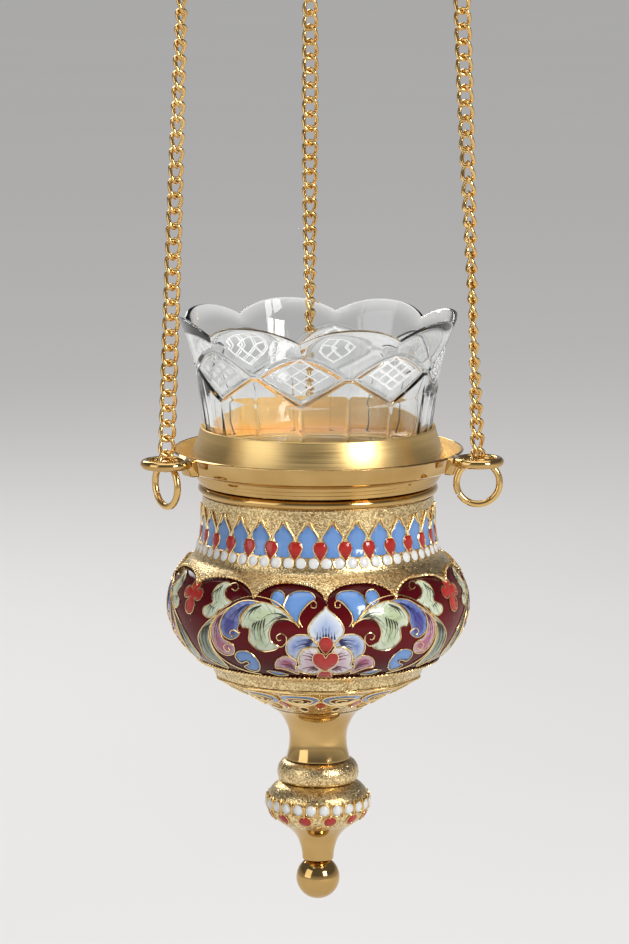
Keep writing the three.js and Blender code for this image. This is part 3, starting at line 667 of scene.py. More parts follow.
sky_blue = enamel("sky_blue", (0.12, 0.27, 0.62), (0.18, 0.36, 0.75))
pale_blue = enamel("pale_blue", (0.86, 0.91, 0.94), (0.46, 0.57, 0.84), (0.03, 0.05, 0.28), 3.4)
lilac = enamel("lilac", (0.66, 0.73, 0.86), (0.20, 0.30, 0.68), (0.03, 0.04, 0.22), 2.4, 3.0, 8.5)
blush = enamel("blush", (0.92, 0.88, 0.89), (0.74, 0.55, 0.64), (0.14, 0.02, 0.06), 2.8, 2.5, 9.0)
rose = enamel("rose", (0.76, 0.58, 0.66), (0.48, 0.14, 0.24), (0.16, 0.02, 0.05), 1.8, 2.0, 9.0)
mint = enamel("mint", (0.80, 0.86, 0.72), (0.54, 0.64, 0.39), (0.05, 0.08, 0.02), 2.6, 3.0, 13.0, 3.8)
violet = enamel("violet", (0.22, 0.32, 0.68), (0.07, 0.07, 0.32), (0.02, 0.02, 0.16), 1.8, 3.0, 14.0)
sage = enamel("sage", (0.50, 0.55, 0.48), (0.22, 0.28, 0.18), (0.03, 0.05, 0.02), 1.8, 4.0, 20.0, 5.0)
red = enamel("red", (0.42, 0.014, 0.010), (0.56, 0.026, 0.016))
white = enamel("white", (0.80, 0.82, 0.83), (0.94, 0.95, 0.94))
navy_stroke = enamel("navy_stroke", (0.012, 0.020, 0.12), (0.02, 0.03, 0.16))
plum_stroke = enamel("plum_stroke", (0.12, 0.012, 0.04), (0.16, 0.02, 0.05))
olive_stroke = enamel("olive_stroke", (0.020, 0.024, 0.010), (0.03, 0.035, 0.015))
wine = enamel("wine", (0.05, 0.002, 0.004), (0.14, 0.004, 0.008), reach=4.0, gloss=0.12)
print("enamels:", len([made for made in bpy.data.materials if made.name.startswith("enamel_")]))

# %% [markdown]
# ## Wells of enamel
# A leaf starts as one flat face inside its wire. A single face can't bend, so it is cut by a fine
# net of straight cuts before it is laid on the wall, and gently domed away from its wire. It is
# drawn once, and each copy is laid on the wall at its own angle, mirrored where it must be.

# %% Flat leaves
dome_run = 1.2


def off_line(here, start, stop):
    """Distance of a point from a straight line, and the share of the line where it is nearest."""
    along = stop - start
    share = max(0, min(1, (here - start).dot(along) / max(along.length_squared, 1e-9)))
    return (here - start - along * share).length, share


def leaf(outline, root=(0, 0), net=1.4, dome=0.14, level=0.0):
    """A flat leaf in mm with its two maps. The dome lifts it away from its wire."""
    bm = bmesh.new()
    bm.faces.new([bm.verts.new((x, y, 0)) for x, y in outline])
    bmesh.ops.triangulate(bm, faces=bm.faces)
    for axis in (0, 1):
        low = min(point[axis] for point in outline)
        high = max(point[axis] for point in outline)
        cuts = int((high - low) / net)
        for i in range(cuts):
            place, facing = [0, 0, 0], [0, 0, 0]
            place[axis], facing[axis] = low + (high - low) * (i + 0.5) / max(cuts, 1), 1
            bmesh.ops.bisect_plane(bm, geom=bm.verts[:] + bm.edges[:] + bm.faces[:], dist=0.001,
                                   plane_co=place, plane_no=facing)
    bmesh.ops.remove_doubles(bm, verts=bm.verts, dist=0.02)
    sides_of_leaf = [(Vector(a), Vector(b)) for a, b in zip(outline, outline[1:] + outline[:1])]
    away = {}
    for vert in bm.verts:
        here = vert.co.xy
        away[vert] = min(off_line(here, start, stop)[0] for start, stop in sides_of_leaf)
        vert.co.z = level + dome * min(1, away[vert] / dome_run) ** 0.5
    petal, rim = bm.loops.layers.uv.new("petal"), bm.loops.layers.uv.new("rim")
    for face in bm.faces:
        for loop in face.loops:
            reach = loop.vert.co.xy - Vector(root)
            loop[petal].uv = (reach.length, atan2(reach.y, reach.x + 1e-6))
            loop[rim].uv = (away[loop.vert], 0)
        if face.normal.z < 0:
            face.normal_flip()
    return bm


def laid_round(flat, lay, first, count, turned_over=False):
    """Copies of a flat shape laid round a wall. Lay turns an angle and a flat point into a place."""
    copies = []
    for k in range(count):
        copies.append(flat.copy())
        for vert in copies[-1].verts:
            vert.co = lay(first + 2 * pi * k / count, *vert.co)
        if turned_over:
            bmesh.ops.reverse_faces(copies[-1], faces=copies[-1].faces)
    return joined(*copies)


def lines_round(line, lay, first, count, lift):
    return [[lay(first + 2 * pi * k / count, x, y, lift) for x, y in line] for k in range(count)]


def round_the_bowl(flat, both_sides):
    """Three repeats of a flat pattern, mirrored too where it is only one half."""
    laid = [laid_round(flat, on_belly, pattern_turn, repeats)]
    if both_sides:
        laid.append(laid_round(flat, on_belly_mirrored, pattern_turn, repeats, True))
    flat.free()
    return joined(*laid)


def well_filled(name, bm, finish, depth=0.3):
    """Keep enamel and give it the thickness of the well that it fills."""
    piece = keep(bm, name, "lamp", (finish, "enamelled_gilt"), (), 60)
    solid = piece.modifiers.new("depth", "SOLIDIFY")
    solid.thickness, solid.offset = depth * mm, -1


# %% [markdown]
# ## The flower and its scrolls
# Three times round the belly stands a lotus with a red heart. Scrolling leaves of mint, violet and
# rose run out from it on both sides and meet the next set at a red quatrefoil. This is a stock
# pattern of church enamel. Half of one repeat is drawn below, from the flower's middle line to the
# quatrefoil, with a handful of points for each leaf.

# %% Outlines of half a repeat
def whole(half):
    """Both sides of an outline that is given from top to bottom along its right side."""
    return half + [(-x, y) for x, y in reversed(half) if x > 0.01]


flower_crown = whole([(0, 8.4), (1, 7.3), (2.2, 6.4), (3.7, 4.8), (5, 2.8), (5.2, 1.3), (4.5, -0.4),
                      (2.8, -2.3), (1.2, -3.6), (0, -4.2)])
red_middles = [
    whole([(0, -0.4), (1.4, -0.9), (2.1, -2.5), (1.6, -4.0), (0.5, -5.5), (0, -6.1)]),
    whole([(0, -7.3), (0.8, -5.9), (2.2, -5.4), (3.6, -6.2), (4.0, -8.0), (3.1, -10.3), (1.1, -12.2),
           (0, -12.8)]),
    whole([(0, -13.1), (1.5, -13.2), (2.1, -14.4), (2.5, -16.1), (0, -16.2)]),
]
side_leaves = [
    ("flower_side", lilac, (2.0, -3.4), [
        (4.6, -0.2), (6.6, 0.3), (8.9, 0.1), (10.9, -1.3), (11.9, -3.7), (11.5, -6.1), (10.1, -7.5),
        (8.5, -8.6), (8, -6.2), (6.8, -4.4), (4.8, -3.5), (2.8, -3.6), (2.4, -2.6)]),
    ("flower_cup", blush, (2.0, -9.5), [
        (2, -4.8), (2.8, -3.8), (4.4, -3.7), (6.4, -4.4), (8, -6.2), (8.5, -8.6), (8.3, -10.3),
        (9.5, -11.3), (8.3, -13.4), (5.8, -14.5), (3.2, -14.7), (1.3, -13.1), (0.8, -9)]),
    ("flower_leaf", rose, (8.6, -13.0), [
        (8.9, -9.2), (10.2, -7.6), (12.3, -6.9), (14.6, -7.9), (16, -9.9), (16.2, -12.1), (14.4, -12.2),
        (12.1, -13), (9.4, -14.6), (8.6, -13.4), (9.6, -11.4)]),
    ("sky_pocket", sky_blue, (8, 3), [
        (7.8, 2.4), (8, 4.1), (7.6, 5.9), (6.6, 7.8), (5, 9.7), (3.4, 10.5), (3.2, 11.5), (4.6, 12.9),
        (7.2, 13.3), (9.5, 13), (11.5, 11.8), (12.1, 10.2), (12.5, 8.2), (10.5, 5.6)]),
    ("sky_round", sky_blue, (13, 8), [
        (12.6, 9.2), (12.7, 11.8), (14.2, 13.1), (16, 12.9), (17, 11.2), (16.4, 9.3), (14.4, 8.2)]),
    ("big_scroll", mint, (14.5, 4.0), [
        (8, 3.2), (10.5, 5.4), (13.3, 7.5), (17, 8.9), (20.7, 9.2), (23.5, 7.3), (25.4, 4.9), (25.8, 2.6),
        (25, 1.4), (23.5, 1.4), (22.9, 0.4), (23.3, -2.3), (21.7, -4.5), (19.5, -5.6), (17.4, -5.5),
        (14.8, -4.6), (14.2, -3.5), (16, -2.3), (16.6, 0), (16, 2.3), (14.6, 4), (12.5, 4.7),
        (10.3, 4.3)]),
    ("violet_leaf", violet, (27.5, 3.5), [
        (19.9, 9.1), (23.3, 9.5), (26.6, 8.9), (29.6, 7), (31.7, 4.8), (32.9, 2), (32.9, -0.5),
        (31.7, -2), (29.7, -2.7), (27.6, -2), (26.2, -0.6), (26.8, 0.6), (26.1, 2.6), (26, 4.8),
        (24.2, 7.3), (22.1, 8.5)]),
    ("rose_leaf", rose, (33.5, -3.5), [
        (29.6, 7), (32.3, 5.4), (34.7, 3.1), (36.4, 0.6), (37, -2.2), (36.8, -5.2), (35.8, -7.6),
        (33.3, -8.7), (30.1, -7.8), (28.8, -5.7), (29.4, -4), (31.1, -3.3), (32.3, -2.7), (33.2, -0.5),
        (33, 2.4), (31.5, 4.8)]),
    ("sage_leaf", sage, (38.5, -14.0), [
        (34.3, 4.1), (38, 1.7), (41.3, -1.2), (43.5, -3.9), (44.5, -7.6), (45.1, -11.3), (42.1, -13.7),
        (36.8, -15.3), (36.9, -11.8), (38, -8.7), (38.4, -5.1), (38.2, -2.4), (36.8, 0.8)]),
    ("blue_comma", sky_blue, (28, -13), [
        (21.9, -12.4), (21.5, -10.2), (22.3, -7.9), (24.2, -6.2), (27, -6.2), (29.2, -7.6), (29.7, -9.6),
        (28.6, -11.2), (26, -10.2), (25.6, -11.2), (28, -12.7), (27, -14.2), (25, -14.8),
        (23.3, -14.3)]),
    ("low_comma", sky_blue, (16, -15), [
        (12.7, -15.5), (14.2, -14.4), (17.2, -13.7), (19.9, -13.8), (18.8, -14.9), (16.4, -16)]),
    ("upper_scroll", mint, (33.5, 9.0), [
        (31.8, 13.4), (33.6, 14.3), (35.6, 14), (37.8, 12.3), (38.2, 9.8), (37, 7.6), (38, 6.7),
        (40.2, 5.5), (40, 3.6), (37.6, 2.8), (34.9, 4.1), (34.1, 5.4), (31.7, 6.7), (29.9, 8.4),
        (31.9, 9), (33.6, 11.2), (33, 12.8)]),
]
quatrefoil_middle = 47.1
quatrefoil = [(quatrefoil_middle + x, y) for x, y in whole([
    (0, 13.4), (1.8, 12.7), (2.1, 10.9), (1.3, 9.9), (3.2, 10.8), (4.9, 9.6), (4.6, 7.6), (2.9, 6.9),
    (1.3, 7.5), (2.4, 5.6), (1.9, 3.4), (0, 2.6)])]
curls = [
    [(6.8, 2.5), (7.8, 4.1), (7.6, 6.2), (6, 8.5), (4, 10.2), (2.8, 9.6), (3, 8.3), (4.2, 8.3), (4.4, 9.2)],
    [(14.2, -3.5), (13.1, -3.6), (11.7, -2.1), (11.7, -0.4), (13.1, 0.4), (14.4, -0.5), (14, -1.6),
     (13.1, -1.4)],
    [(29.9, 8.4), (32.5, 9.6), (33.5, 11.4), (32.7, 13.5), (30.5, 14.4), (29, 13.1), (29.6, 11.8),
     (31.3, 12.3)],
    [(29.4, -4), (31.6, -4.4), (33, -5.6), (32.4, -7), (30.9, -6.6), (31.2, -5.6)],
    [(26.2, -0.6), (28.4, 0.4), (29.6, -0.6), (28.9, -1.7), (27.9, -1.2)],
    [(8.4, 3.4), (13, 8.2), (18, 10.4), (24, 10.6), (29.5, 8.4), (34, 4.6), (37.4, 0)],
    [(36.4, 0.8), (37.9, -4.4), (36.9, -9.2), (33.5, -12.8), (28.6, -15.2), (23, -16.2)],
]
print("outlines of half a repeat:", len(side_leaves) + len(red_middles) + 2, " curls:", len(curls))

# %% [markdown]
# ## The wine-red ground
# Behind the leaves lies a deep wine enamel, so dark that it only glows where a lamp strikes it. Its
# upper edge rises in arches, three on each side of the flower, and a twisted gold wire follows that
# edge. The ground is one grid whose upper row is pulled up to the arches.

# %% Ground
cusps = [(0.0, 10.6), (22.5, 9.8), (47.1, 11.5)]
crests = [15.9, 15.8]
lower_edge, ground_lift = -17.5, 0.06


def arch(across):
    """Upper edge of the ground at a way round the bowl."""
    half = abs((across + repeat / 2) % repeat - repeat / 2)
    for (start, low), (stop, high), crest in zip(cusps, cusps[1:], crests):
        if half <= stop + 1e-6:
            t = (half - start) / (stop - start)
            base = low + (high - low) * t
            return base + (crest - base) * max(0, 1 - abs(2 * t - 1) ** 2.4) ** 0.62
    return cusps[-1][1]


ground = bmesh.new()
bmesh.ops.create_grid(ground, x_segments=324, y_segments=14, size=0.5)
ground_rim = ground.loops.layers.uv.new("rim")
for face in ground.faces:
    for loop in face.loops:
        loop[ground_rim].uv = (0.2 + 9 * min(loop.vert.co.y + 0.5, 0.5 - loop.vert.co.y), 0)
for vert in ground.verts:
    across = (vert.co.x + 0.5) * repeats * repeat
    up = lower_edge + (arch(across) - lower_edge) * (vert.co.y + 0.5)
    vert.co = on_belly(pattern_turn, across, up, ground_lift)
bmesh.ops.remove_doubles(ground, verts=ground.verts, dist=0.01)
bmesh.ops.recalc_face_normals(ground, faces=ground.faces)
well_filled("ground_enamel", ground, wine)

# %% Fill the leaves
gold_lines = {True: [], False: []}
wire_lift, leaf_wire, curl_wire = 0.28, 0.17, 0.19


def remember(line, closed=True, both=True):
    """Keep a line for its wire, in all its places round the bowl."""
    for lay in (on_belly, on_belly_mirrored) if both else (on_belly,):
        gold_lines[closed].extend(lines_round(line, lay, pattern_turn, repeats, wire_lift))


def bordered(rough, both=True, steps=4):
    """The flowing outline of a leaf, whose wire is remembered too."""
    line = flowing(rough, steps, True)
    remember(line, both=both)
    return line


crown = leaf(bordered(flower_crown, False), (0, -4.0), level=0.10)
well_filled("flower_crown", round_the_bowl(crown, False), pale_blue)
for count, (name, finish, root, rough) in enumerate(side_leaves):
    flat = leaf(bordered(rough), root, level=0.08 + 0.008 * count)
    well_filled(name, round_the_bowl(flat, True), finish)
reds = [leaf(bordered(rough, False), level=0.38) for rough in red_middles]
reds.append(leaf(bordered(quatrefoil, False, 3), level=0.14))
well_filled("red_enamel", round_the_bowl(joined(*reds), False), red)
for curl in curls:
    remember(flowing(curl, 5), False)
belly_wires = joined(wire(gold_lines[True], leaf_wire, 4, True), wire(gold_lines[False], curl_wire, 4))
keep(belly_wires, "cloison_wires", "lamp", fine_wire, (), 70)

# %% [markdown]
# ## Brush strokes
# On the fired leaves the painter draws dark strokes with a fine brush, thick where the brush lands
# and pointed where it lifts. They all run the way the leaf grows. Noise can't follow a scroll, so
# each stroke is a thin sliver of enamel. A set of strokes is given by the line where they begin, the
# line where they end, their number and their bend.

# %% Strokes
def stroke_outline(start, stop, bend, width):
    """A tapered sliver from start to stop, bowed to one side."""
    side = Vector((start.y - stop.y, stop.x - start.x)).normalized()
    left, right = [], []
    for i in range(9):
        t = i / 8
        middle = start.lerp(stop, t) + side * bend * 4 * t * (1 - t)
        half = 0.5 * width * (0.25 + 0.75 * sin(pi * min(1, t * 1.6 + 0.2))) * (1 - t ** 3) + 0.02
        left.append(tuple(middle + side * half))
        right.append(tuple(middle - side * half))
    return left + right[::-1]


stroke_width, stroke_lift, stroke_depth = 0.42, 0.34, 0.1
stroke_sets = {
    "navy_strokes": (navy_stroke, [
        ((-0.2, -1.0), (2.6, -1.2), (0.2, 3.6), (2.4, 1.2), 4, 0.0),
        ((3.6, -1.6), (4.4, -3.0), (8.2, -1.0), (9.6, -4.6), 5, 0.45),
        ((23.6, 8.3), (25.4, 7.2), (31.4, 2.6), (27.6, 2.2), 5, 0.7)]),
    "plum_strokes": (plum_stroke, [
        ((3.2, -6.6), (3.8, -8.4), (6.8, -5.2), (7.4, -7.6), 3, 0.3),
        ((2.2, -12.2), (3.4, -11.0), (5.2, -13.8), (7.2, -11.8), 4, 0.2),
        ((9.8, -12.6), (10.2, -11.4), (14.4, -11.0), (13.4, -8.6), 4, 0.5),
        ((31.2, 5.2), (33.0, 3.9), (34.6, -4.0), (36.0, -2.6), 5, 0.8)]),
    "olive_strokes": (olive_stroke, [
        ((10.6, 4.5), (11.4, 5.2), (17.4, 0.6), (18.8, 4.6), 4, 1.3),
        ((18.0, 4.6), (21.2, 3.2), (17.6, -3.4), (21.9, -1.8), 5, 0.7),
        ((19.6, 8.3), (21.6, 7.6), (22.6, 4.6), (24.8, 3.4), 4, 0.5),
        ((37.2, 1.2), (39.8, -0.4), (38.8, -10.6), (43.0, -9.0), 5, 1.0),
        ((35.4, 13.2), (37.4, 11.2), (34.6, 7.0), (36.9, 8.2), 4, 0.7),
        ((36.0, 6.2), (37.4, 6.6), (36.4, 3.9), (38.9, 4.6), 3, 0.3)]),
}
for name, (finish, sets) in stroke_sets.items():
    slivers = []
    for first, last, first_tip, last_tip, count, bend in sets:
        for i in range(count):
            t = i / (count - 1)
            start = Vector(first).lerp(Vector(last), t)
            stop = Vector(first_tip).lerp(Vector(last_tip), t)
            reach = 0.72 + 0.28 * (i % 2)
            outline = stroke_outline(start, start.lerp(stop, reach), bend * reach, stroke_width)
            slivers.append(leaf(outline, dome=0.0, level=stroke_lift))
    well_filled(name, round_the_bowl(joined(*slivers), True), finish, stroke_depth)

# %% [markdown]
# ## Twisted borders
# Each field of enamel is bordered by two fine wires twisted into a cord. A plain wire would lose
# the sparkle of the little strands, so both strands are drawn as spirals round the border's line.

# %% Twisted wire
def twisted(points, strand=0.3, pitch=1.4):
    """Two strands that wind round a closed line of points, a quarter of a millimetre or less apart."""
    strands = [[], []]
    total = sum((b - a).length for a, b in zip(points, points[1:]))
    turns = round(total / pitch)
    travelled = 0.0
    for i, point in enumerate(points):
        ahead = points[(i + 1) % len(points)]
        run = (ahead - points[i - 1]).normalized()
        outward = Vector((point.x, point.y, 0)).normalized()
        across = run.cross(outward).normalized()
        outward = across.cross(run).normalized()
        turn = 2 * pi * turns * travelled / total
        for k in (0, 1):
            swing = across * cos(turn + pi * k) + outward * sin(turn + pi * k)
            strands[k].append(point + swing * strand * 0.75)
        travelled += (ahead - point).length
    return strands


def border(steps, height_at, lift=0.36):
    ways = [repeats * repeat * i / steps for i in range(steps)]
    return [on_belly(pattern_turn, way, height_at(way), lift) for way in ways]


strands = twisted(border(2400, arch)) + twisted(border(2000, lambda way: lower_edge))
keep(wire(strands, 0.27, 4, True), "twisted_borders", "lamp", fine_wire, (), 70)

# %% [markdown]
# ## The neck band
# Thirty blue ogee cells stand round the neck with thirty red drops between them, over a row of
# sixty white beads. Gold wires run up from each drop like the arms of a Y.

# %% Neck band
neck_round, drops_round_neck = 36.0, 30
first_drop, half_step = radians(1.0), radians(6)


def on_neck(angle, across, height, lift):
    return on_wall(angle + across / neck_round, way_at(height) - middle_way, lift)


def ring_line(middle, across, along, count=24):
    """An oval on a flat pattern."""
    return oval((0, middle), (across, along), 0, 360, count)[:-1]


def filled_round(lay, rows, downward=False):
    """Fill each row's outline with enamel all round a wall. The lines of its wires come back.

    A row is a name, an enamel, an outline, the angle of the first copy, the number of copies, the
    leaf's net, dome and level, and the wire's lift.
    """
    lines = []
    for name, finish, outline, first, count, (net, dome, level), lift in rows:
        flat = leaf(outline, (0, 0), net, dome, level)
        well_filled(name, laid_round(flat, lay, first, count, downward), finish)
        flat.free()
        lines += lines_round(outline, lay, first, count, lift)
    return lines


cell = flowing(whole([(0, -16.9), (1.0, -18.3), (2.5, -19.6), (3.1, -21.1), (2.8, -22.6), (2.2, -24.2),
                      (2.3, -26.0), (1.9, -27.0), (0, -27.1)]), 3, True)
drop = flowing(whole([(0, -22.2), (1.4, -22.6), (2.05, -24.0), (1.7, -25.4), (0.7, -26.9), (0, -27.9)]),
               closed=True)
neck_bead = ring_line(-28.5, 1.68, 1.68, 12)
neck_closed = filled_round(on_neck, (
    ("ogee_cells", sky_blue, cell, first_drop + half_step, drops_round_neck, (1.4, 0.14, 0.05), 0.14),
    ("neck_drops", red, drop, first_drop, drops_round_neck, (1.4, 0.35, 0.25), 0.14),
    ("neck_beads", white, neck_bead, first_drop + half_step / 2, 2 * drops_round_neck,
     (1.0, 0.4, 0.15), 0.14)))
arm = flowing([(0.1, -22.3), (0.5, -20.8), (1.5, -19.2), (2.6, -17.4), (3.0, -16.2)])
neck_open = []
for line in (arm, [(-x, y) for x, y in arm]):
    neck_open += lines_round(line, on_neck, first_drop, drops_round_neck, 0.3)
neck_wires = joined(wire(neck_closed, 0.19, 4, True), wire(neck_open, 0.32, 6))
keep(neck_wires, "neck_wires", "lamp", fine_wire, (), 70)

# %% [markdown]
# ## Under the bowl
# The cone under the bowl carries twelve blue loops with wine-red middles, red drops between them,
# and a dark drop under each loop. The cap below the knop has a belt of twenty-four white beads in
# little gold claws with twelve red drops hanging from it.

# %% Lay a pattern on the cone and on the cap
def down_wall(wall, angle, way, lift):
    """A point on a turned wall: angle from the front, way down its outline, lift from the metal."""
    rest = way
    for start, stop in zip(wall, wall[1:]):
        run = Vector(stop) - Vector(start)
        if rest <= run.length or stop == wall[-1]:
            here = Vector(start) + run.normalized() * rest
            normal = Vector((-run.y, run.x)).normalized()
            radius, height = here.x + normal.x * lift, here.y + normal.y * lift
            return Vector((radius * sin(angle), -radius * cos(angle), height))
        rest -= run.length
    raise ValueError("the wall has no outline")


cone_round, pearl_round, drop_round = 25.0, 15.4, 14.2


def on_cone(angle, across, way, lift):
    return scalloped(down_wall(cone_line, angle + across / cone_round, way, lift))


def on_belt(angle, across, way, lift):
    return down_wall(cap_wall, angle + across / pearl_round, way, lift)


def under_belt(angle, across, way, lift):
    return down_wall(cap_wall, angle + across / drop_round, way, lift)


print("the cone's wall and the cap's wall have", len(cone_line), "and", len(cap_wall), "points")

# %% Loops on the cone
loops, loop_turn, gap_turn = 12, radians(17), radians(2)
loop_line, loop_inside = ring_line(6.2, 6.0, 5.2), ring_line(6.4, 4.0, 3.0)
gap_drop = flowing(whole([(0, 7.6), (1.5, 9.2), (2.0, 11.4), (1.1, 13.6)]), 3, True)
dark_drop = ring_line(14.4, 1.9, 2.0, 16)
cone_closed = filled_round(on_cone, (
    ("cone_loops", sky_blue, loop_line, loop_turn, loops, (1.2, 0.2, 0.1), 0.2),
    ("cone_middles", wine, loop_inside, loop_turn, loops, (1.2, 0.1, 0.32), 0.4),
    ("cone_red_drops", red, gap_drop, gap_turn, loops, (1.2, 0.3, 0.1), 0.2),
    ("cone_dark_drops", wine, dark_drop, loop_turn, loops, (1.2, 0.3, 0.1), 0.2)), True)
spiral = [(2.9 * (1 - t / 20) * cos(t * 0.55), 6.4 + 2.0 * (1 - t / 24) * sin(t * 0.55)) for t in range(16)]
cone_open = lines_round(spiral, on_cone, loop_turn, loops, 0.5)
ledge_radius, ledge_middle = 31.1, -68.4
ledge_line = [scalloped(Vector(point)) for point in circle(ledge_radius, 0, ledge_middle, 360, lying=True)]
cone_wires = joined(wire(cone_closed, 0.24, 4, True), wire(cone_open, 0.22, 4),
                    wire([ledge_line], 0.4, 8, True))
keep(cone_wires, "cone_wires", "lamp", fine_wire, (), 70)

# %% Belt of beads on the cap
widest, pearls = -107.9, 24
belt_way = sum((Vector(b) - Vector(a)).length for a, b in zip(cap_side, cap_side[1:]) if b[1] > widest)
belt_turn, drop_turn = radians(7), radians(14.5)
pearl = ring_line(belt_way, 1.78, 1.8, 16)
belt_drop = flowing(whole([(0, belt_way + 1.7), (1.5, belt_way + 2.5), (1.95, belt_way + 3.8),
                           (1.1, belt_way + 5.5)]), 3, True)
cap_closed = filled_round(on_belt, (
    ("cap_pearls", white, pearl, belt_turn, pearls, (0.8, 0.7, 0.1), 0.3),), True)
cap_closed += filled_round(under_belt, (
    ("cap_drops", red, belt_drop, drop_turn, pearls // 2, (0.9, 0.4, 0.1), 0.2),), True)
claw = flowing([(x, belt_way + y) for x, y in ((1.7, -2.5), (2.02, -1.3), (2.02, 1.3), (1.8, 2.3))], 3)
claws = wire(lines_round(claw, on_belt, belt_turn, pearls, 0.3), 0.28, 6)
cap_wires = joined(wire(cap_closed, 0.22, 6, True), claws)
keep(cap_wires, "cap_wires", "lamp", thick_wire, (), 70)
print("belt of beads lies", round(belt_way, 1), "mm down the cap")

# %% [markdown]
# ## Hook and hanger
# Above the photograph's edge the three chains must come together. Here they hang from the eyes of a
# small turned hub with three drawn arms, and the hub turns on the shank of an open hook. The hook
# is one piece of bent wire, so it is drawn along its own line.

# %% Hook
hook_line = [(0, 0, -51.8), (0, 0, -40), (0, 0, -24)] + flowing(
    [(0, 0, -21.0), (-1.1, 0, -18.0), (-4.8, 0, -14.6), (-8.0, 0, -11.0)], 5)
hook_line += circle(8.8, 0, -7, 28, 182, -2) + [(9.0, 0, -8.5), (9.25, 0, -10.4), (9.4, 0, -12.0)]
keep(wire([hook_line], 1.8, 12), "hook_wire", "hook", polished, ("hook",), 50, False)

# %% Hanger
hub_outline = eased([(2.1, -48), (3.7, -48), (6, -46), (6, -43), (3.7, -40.5), (7.4, -38), (7.4, -36.8),
                     (5.3, -34.2), (3.7, -33), (2.1, -33)], 0.6)
arm_line = flowing([(3.9, 0, -44.5), (9, 0, -42.6), (16.2, 0, -41.5), (24.5, 0, -42.2), (32.4, 0, -44),
                    (39, 0, -46.2), (43.9, 0, -48.1)], 6)
eye_radius, eye_reach, eye_middle = 3.5, 46.31, -50.5
hanger_parts = [spun(hub_outline, 72)]
for azimuth in sides.values():
    eye = wire([circle(eye_radius, eye_reach, eye_middle, 32)], 1.0, 10, True)
    hanger_parts.append(turned(joined(wire([arm_line], 1.5, 10), eye), azimuth))
keep(joined(*hanger_parts), "hanger_arms", "hanger", polished, ("hanger",), 50, False)

# %% [markdown]
# ## The cut glass
# The glass is blown in a mould with eight soft lobes round its rim, and then cut on a wheel. The
# wheel leaves mitres, which are grooves with flat flanks, so diamonds run round the wall under the
# valleys of the rim, and pointed splits run up from the foot. Carving these as loose grooves would
# cost thousands of tiny cuts. Here the wall is turned with many fine facets and every point is
# pressed in by the depth of the nearest groove, which gives real edges that bend the light. The
# finer hatching inside each diamond is only scratched white, so that belongs to the finish.

# %% Glass form
glass_foot, glass_crest = -3.9, 41.0
foot_height, body_height, flare_height, flare_run = 1.4, 11.1, 22, 22.9
foot_radius, body_radius, flare_radius, flare_out = 33.0, 34.2, 35.8, 6.4
lobe_draw, lobe_dip = 1.8, 4.0
lobe_turn, valley = 2 * pi / 8, radians(262)
groove_round = 37.0
sector = lobe_turn * groove_round


def from_valley(point):
    """Lobes between a point and the nearest valley of the rim, from -0.5 to 0.5."""
    turns = (atan2(point.y, point.x) - valley) / lobe_turn
    return turns - round(turns)


def lobe_move(point):
    """Draw a point of the flared wall in and down towards the valleys of the rim."""
    reach = hypot(point.x, point.y)
    if reach < 1:
        return point
    flare_start = glass_foot + flare_height
    rise = min(1, max(0, (point.z - flare_start) / (glass_crest - flare_start)))
    share = (1 - 2 * abs(from_valley(point))) ** 2.2 * rise * rise * (3 - 2 * rise)
    drawn = (reach - lobe_draw * share) / reach
    return Vector((point.x * drawn, point.y * drawn, point.z - lobe_dip * share))


half_width, diamond_top, diamond_middle, diamond_foot = 13.2, 35.4, 25.8, 18.3
edge_cut, edge_width, bridge_cut, bridge_width = 0.55, 0.95, 0.5, 0.9
split_foot, split_cut, split_width = -1.0, 0.7, 1.35


def groove(point):
    """How deep the wheel has cut at this point of the outer wall, unrolled at the grooves' radius."""
    here = Vector((from_valley(point) * sector, point.z))
    depth = 0.0
    for sign in (-1, 1):
        corner = Vector((sign * half_width, diamond_middle))
        for tip in (diamond_top, diamond_foot):
            away, _ = off_line(here, Vector((0, tip)), corner)
            depth = max(depth, edge_cut * (1 - away / edge_width))
        away, _ = off_line(here, Vector((sign * sector / 2, diamond_middle)), corner)
        depth = max(depth, bridge_cut * (1 - away / bridge_width))
    for middle, top in ((0, 17.4), (sector / 2, 22.0), (-sector / 2, 22.0)):
        away, share = off_line(here, Vector((middle, split_foot)), Vector((middle, top)))
        narrowing = (1 - share) ** 0.5
        depth = max(depth, split_cut * narrowing * (1 - away / (split_width * narrowing + 0.02)))
    return max(0.0, depth)


def wall_radius(height):
    """Radius of the outer wall before the lobes and the cuts."""
    above = height - glass_foot
    if above < body_height:
        return foot_radius + (body_radius - foot_radius) * above / body_height
    if above < flare_height:
        share = (above - body_height) / (flare_height - body_height)
        return body_radius + (flare_radius - body_radius) * share
    return flare_radius + flare_out * ((above - flare_height) / flare_run) ** 1.5


